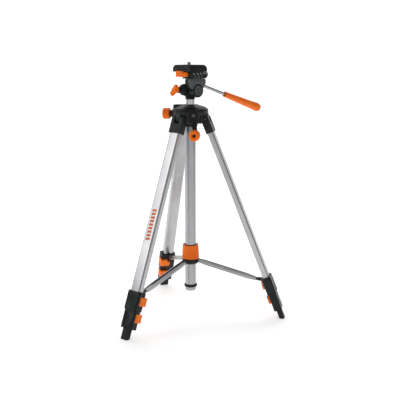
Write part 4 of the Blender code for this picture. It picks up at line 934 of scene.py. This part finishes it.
for i, az in enumerate(LEG_AZIMUTHS, 1):
    leg = "leg_%d" % i
    L = leg_frame(az)
    yz = L @ frame((0, 0, 0), (0, 1, 0), (1, 0, 0))

    head = [(-0.0073, S_CASTING)] + arc(0, 0, 0.0073, 180, 360, 24) + [(0.0073, S_CASTING)]
    casting = flat([head], -0.0130, 0.0130, yz)
    cut(casting, block((0.0106, 0.0300, 0.0300), (0, 0, 0.0095 - 0.0150), L))
    cut(casting, flat([tube_loop(UPPER_W + 2 * GAP, UPPER_T + 2 * GAP, 0.0024)], 0.0122, 0.0400, L))
    cut(casting, rod(0.0018 + GAP, -0.0200, 0.0200, L @ Matrix.Rotation(math.radians(90), 4, "Y"), 24))
    # shallow moulded panel on the outer face
    cut(casting, flat([rounded(-0.0095, 0.0095, 0.0100, 0.0245, 0.0016, 5)], 0.0068, 0.0080,
                      L @ Matrix(((1, 0, 0, 0), (0, 0, 1, 0), (0, 1, 0, 0), (0, 0, 0, 1)))))
    look(leg + "_top_casting", casting, BLACK, leg, [leg + "_casting"], 0.0010, 3)

    outer = flat([tube_loop(UPPER_W, UPPER_T, 0.0030, 12), tube_loop(UPPER_W - 2 * UPPER_WALL, UPPER_T - 2 * UPPER_WALL, 0.0018)],
                 0.0126, 0.3505, L)
    look(leg + "_outer_tube", outer, ALUMINIUM, leg, [leg + "_upper_tube"])

    if i == 1:
        # plain printed band of slanted dashes near the middle of the outer face
        dashes = []
        for k in range(9):
            s_mid = 0.1740 + 0.0066 * k
            dashes.append(block((0.0100, 0.00025, 0.0046), (-0.0004, UPPER_T / 2, s_mid),
                                L @ Matrix.Translation((-0.0004, UPPER_T / 2, s_mid)) @ Matrix.Rotation(math.radians(8), 4, "Y")
                                @ Matrix.Translation((0.0004, -UPPER_T / 2, -s_mid))))
        look(leg + "_printed_band", lump(*dashes), PRINT, leg)

    bore_w, bore_t = UPPER_W + 2 * GAP, UPPER_T + 2 * GAP
    collar = flat([rounded(-0.0145, 0.0165, -0.0092, 0.0088, 0.0036, 10)], S_COLLAR_1, S_COLLAR_1_END - 0.0013, L)
    join(collar, flat([rounded(-0.0135, 0.0155, -0.0082, 0.0078, 0.0030, 10)], 0.3560, S_COLLAR_1_END, L))
    lug = [(-0.0060, 0.3235), (-0.0145, 0.3205)] + arc(BRACE_PIVOT_N, BRACE_PIVOT_S, 0.0024, 270, 90, 14) \
        + [(-0.0091, 0.3300), (-0.0060, 0.3300)]
    join(collar, flat([lug], -0.0026, 0.0026, yz))
    cut(collar, flat([tube_loop(bore_w, bore_t, 0.0031)], 0.3200, 0.3509, L))
    mw, mt = MIDDLE_W + 2 * GAP, MIDDLE_T + 2 * GAP
    cut(collar, flat([tube_loop(mw, mt, 0.0020)], 0.3490, 0.3700, L))
    s0, s1 = 0.3315, 0.3470
    pin_a = (0.0152, 0.0005)
    cut(collar, block((0.0100, 0.0300, s1 - s0 + 0.0008), (0.0155 + 0.0050, -0.0150 + 0.0042, (s0 + s1) / 2), L))
    cut(collar, rod(0.0036, s0 - 0.0004, s1 + 0.0004, L @ Matrix.Translation((pin_a[0], pin_a[1], 0)), 32))
    face = L @ Matrix(((1, 0, 0, 0), (0, 0, 1, 0), (0, 1, 0, 0), (0, 0, 0, 1)))
    cut(collar, flat([rounded(-0.0105, 0.0112, 0.3275, 0.3545, 0.0026, 6)], 0.0083, 0.0100, face))
    look(leg + "_collar_upper", collar, BLACK, leg, [leg + "_upper_collar"], 0.0006, 3)
    look(leg + "_clip_upper", lever_solid(pin_a, 0.0032, 0.0158, 0.0182, -0.0096, -0.0150, -0.0015, s0, s1, L,
                                          (0.0049, 0.3372)), ORANGE, leg + "_upper_lever",
         [leg + "_upper_lever"], 0.0007, 3)
    look(leg + "_clip_upper_pin", rod(0.0009, s0 - 0.0030, s1 + 0.0030, L @ Matrix.Translation((pin_a[0], pin_a[1], 0)), 20),
         STEEL, leg)

    inner = flat([tube_loop(MIDDLE_W, MIDDLE_T, 0.0024), tube_loop(MIDDLE_W - 2 * MIDDLE_WALL, MIDDLE_T - 2 * MIDDLE_WALL, 0.0014)],
                 0.0300, 0.3845, L)
    look(leg + "_centre_tube", inner, ALUMINIUM, leg + "_middle", [leg + "_middle_tube"])
    collar = flat([rounded(-0.0130, 0.0152, -0.0080, 0.0073, 0.0032, 10)], S_COLLAR_2, S_COLLAR_2_END, L)
    cut(collar, flat([tube_loop(mw, mt, 0.0020)], 0.3500, 0.3849, L))
    lw, lt = LOWER_W + 2 * GAP, LOWER_T + 2 * GAP
    cut(collar, flat([tube_loop(lw, lt, 0.0016)], 0.3830, 0.4000, L))
    s0, s1 = 0.3625, 0.3778
    pin_b = (0.0137, 0.0003)
    cut(collar, block((0.0100, 0.0300, s1 - s0 + 0.0008), (0.0140 + 0.0050, -0.0150 + 0.0038, (s0 + s1) / 2), L))
    cut(collar, rod(0.0034, s0 - 0.0004, s1 + 0.0004, L @ Matrix.Translation((pin_b[0], pin_b[1], 0)), 32))
    # grip ribs on the far half of the outer face, below the lever
    for k in range(5):
        x = -0.0112 + 0.0019 * k
        cut(collar, flat([rounded(x - 0.00035, x + 0.00035, 0.3625, 0.3872, 0.0003, 3)], 0.0069, 0.0090, face))
    look(leg + "_collar_lower", collar, BLACK, leg + "_middle", [leg + "_middle_collar"], 0.0006, 3)
    screw(leg + "_collar_screw", face @ Matrix.Translation((0.0028, 0.3640, 0.0072)), 0.0015, 0.0006, leg + "_middle")
    look(leg + "_clip_lower", lever_solid(pin_b, 0.0030, 0.0143, 0.0166, -0.0084, -0.0142, -0.0015, s0, s1, L, None),
         ORANGE, leg + "_lower_lever", [leg + "_lower_lever"], 0.0007, 3)
    look(leg + "_clip_lower_pin", rod(0.0009, s0 - 0.0030, s1 + 0.0030, L @ Matrix.Translation((pin_b[0], pin_b[1], 0)), 20),
         STEEL, leg + "_middle")

    look(leg + "_end_tube", flat([tube_loop(LOWER_W, LOWER_T, 0.0016)], 0.0450, 0.3990, L), ALUMINIUM, leg + "_lower",
         [leg + "_lower_tube"])
    shoe = flat([rounded(-0.0088, 0.0088, -0.0048, 0.0048, 0.0036, 10)], S_FOOT, 0.4160, L)
    cut(shoe, flat([tube_loop(lw, lt, 0.0016)], 0.3800, 0.3994, L))
    cut(shoe, block((0.2, 0.2, 0.1), (0, 0, -0.05), Matrix.Translation(polar(az, 0.18))))
    look(leg + "_rubber_foot", shoe, RUBBER, leg + "_lower", [leg + "_foot"], 0.0009, 3, reframe=Matrix())

# ----------------------------------------------------------------------------------------------------------
# Stage, light and camera
# ----------------------------------------------------------------------------------------------------------
for obj in list(WORK.objects):
    bpy.data.objects.remove(obj, do_unlink=True)

VIEW_AZIMUTH = math.radians(132.0)
sweep_profile = ([(-6.0, 0.0), (1.2, 0.0)] + [(1.2 + 0.9 * math.sin(t * math.pi / 24), 0.9 - 0.9 * math.cos(t * math.pi / 24))
                                               for t in range(1, 13)] + [(2.1, 5.0)])
sweep_mesh = bpy.data.meshes.new("floor_sweep")
bm = bmesh.new()
rows = []
for side in (-5.0, 5.0):
    rows.append([bm.verts.new((math.cos(VIEW_AZIMUTH) * d - math.sin(VIEW_AZIMUTH) * side,
                               math.sin(VIEW_AZIMUTH) * d + math.cos(VIEW_AZIMUTH) * side, z)) for d, z in sweep_profile])
for k in range(len(sweep_profile) - 1):
    quad = bm.faces.new((rows[0][k], rows[0][k + 1], rows[1][k + 1], rows[1][k]))
    quad.smooth = True
bm.to_mesh(sweep_mesh)
bm.free()
sweep = bpy.data.objects.new("floor_sweep", sweep_mesh)
bpy.context.scene.collection.objects.link(sweep)
g = Graph("pale_floor")
speck = g.noise(g.scaled(1, 1, 1), 40.0, 3.0, 0.5)
sweep_mesh.materials.append(g.out(Base_Color=g.ramp(speck, (0.3, (0.93, 0.93, 0.93)), (0.7, (0.95, 0.95, 0.95))), Roughness=1.0,
                                  Specular_IOR_Level=0.0, Emission_Color=(1.0, 1.0, 1.0, 1), Emission_Strength=0.47))

# even studio surround: a bright band in front and behind, darker at the sides, so that bright metal has something to show
world = bpy.data.worlds.new("studio")
bpy.context.scene.world = world
world.use_nodes = True
tree = world.node_tree
coord = tree.nodes.new("ShaderNodeTexCoord")
split = tree.nodes.new("ShaderNodeSeparateXYZ")
tree.links.new(coord.outputs["Generated"], split.inputs[0])


def world_math(op, a, b=None):
    n = tree.nodes.new("ShaderNodeMath")
    n.operation = op
    for k, v in enumerate((a, b)):
        if v is None:
            continue
        if isinstance(v, (int, float)):
            n.inputs[k].default_value = v
        else:
            tree.links.new(v, n.inputs[k])
    return n.outputs[0]


across = world_math("ABSOLUTE", world_math("ADD", world_math("MULTIPLY", split.outputs[0], -math.sin(VIEW_AZIMUTH)),
                                           world_math("MULTIPLY", split.outputs[1], math.cos(VIEW_AZIMUTH))))
band = tree.nodes.new("ShaderNodeValToRGB")
tree.links.new(across, band.inputs[0])
band.color_ramp.elements[0].position, band.color_ramp.elements[0].color = 0.0, (1.0, 1.0, 1.0, 1)
band.color_ramp.elements[1].position, band.color_ramp.elements[1].color = 1.0, (0.50, 0.50, 0.51, 1)
for where, level in ((0.45, 0.95), (0.62, 0.20), (0.88, 0.18)):
    e = band.color_ramp.elements.new(where)
    e.color = (level, level, level, 1)
tree.links.new(band.outputs["Color"], tree.nodes["Background"].inputs["Color"])
tree.nodes["Background"].inputs["Strength"].default_value = 0.34


def area(name, azimuth, elevation, distance, size, power, colour=(1, 1, 1), target=(0, 0, 0.25)):
    data = bpy.data.lights.new(name, "AREA")
    data.shape = "RECTANGLE"
    data.size, data.size_y = size
    data.energy = power
    data.color = colour
    obj = bpy.data.objects.new(name, data)
    bpy.context.scene.collection.objects.link(obj)
    az, el = math.radians(azimuth), math.radians(elevation)
    obj.location = Vector(target) + distance * Vector((math.cos(az) * math.cos(el), math.sin(az) * math.cos(el), math.sin(el)))
    obj.rotation_euler = (Vector(target) - obj.location).to_track_quat("-Z", "Y").to_euler()
    return obj


area("key", 232.0, 24.0, 1.9, (0.9, 1.1), 7)
area("fill", 350.0, 35.0, 2.0, (0.8, 1.4), 3)
area("wall_wash", 132.0, 75.0, 2.4, (2.6, 2.0), 30, target=(-0.9, 1.0, 0.2))

camera_data = bpy.data.cameras.new("camera")
camera = bpy.data.objects.new("camera", camera_data)
bpy.context.scene.collection.objects.link(camera)
camera.location = (0.8851, -1.0165, 0.5086)
camera.rotation_euler = (math.radians(78.162), math.radians(0.010), math.radians(40.127))
camera_data.lens = 64.881
camera_data.sensor_width = 36.0
camera_data.clip_start, camera_data.clip_end = 0.05, 60.0
bpy.context.scene.camera = camera
bpy.context.scene.view_settings.view_transform = "Standard"
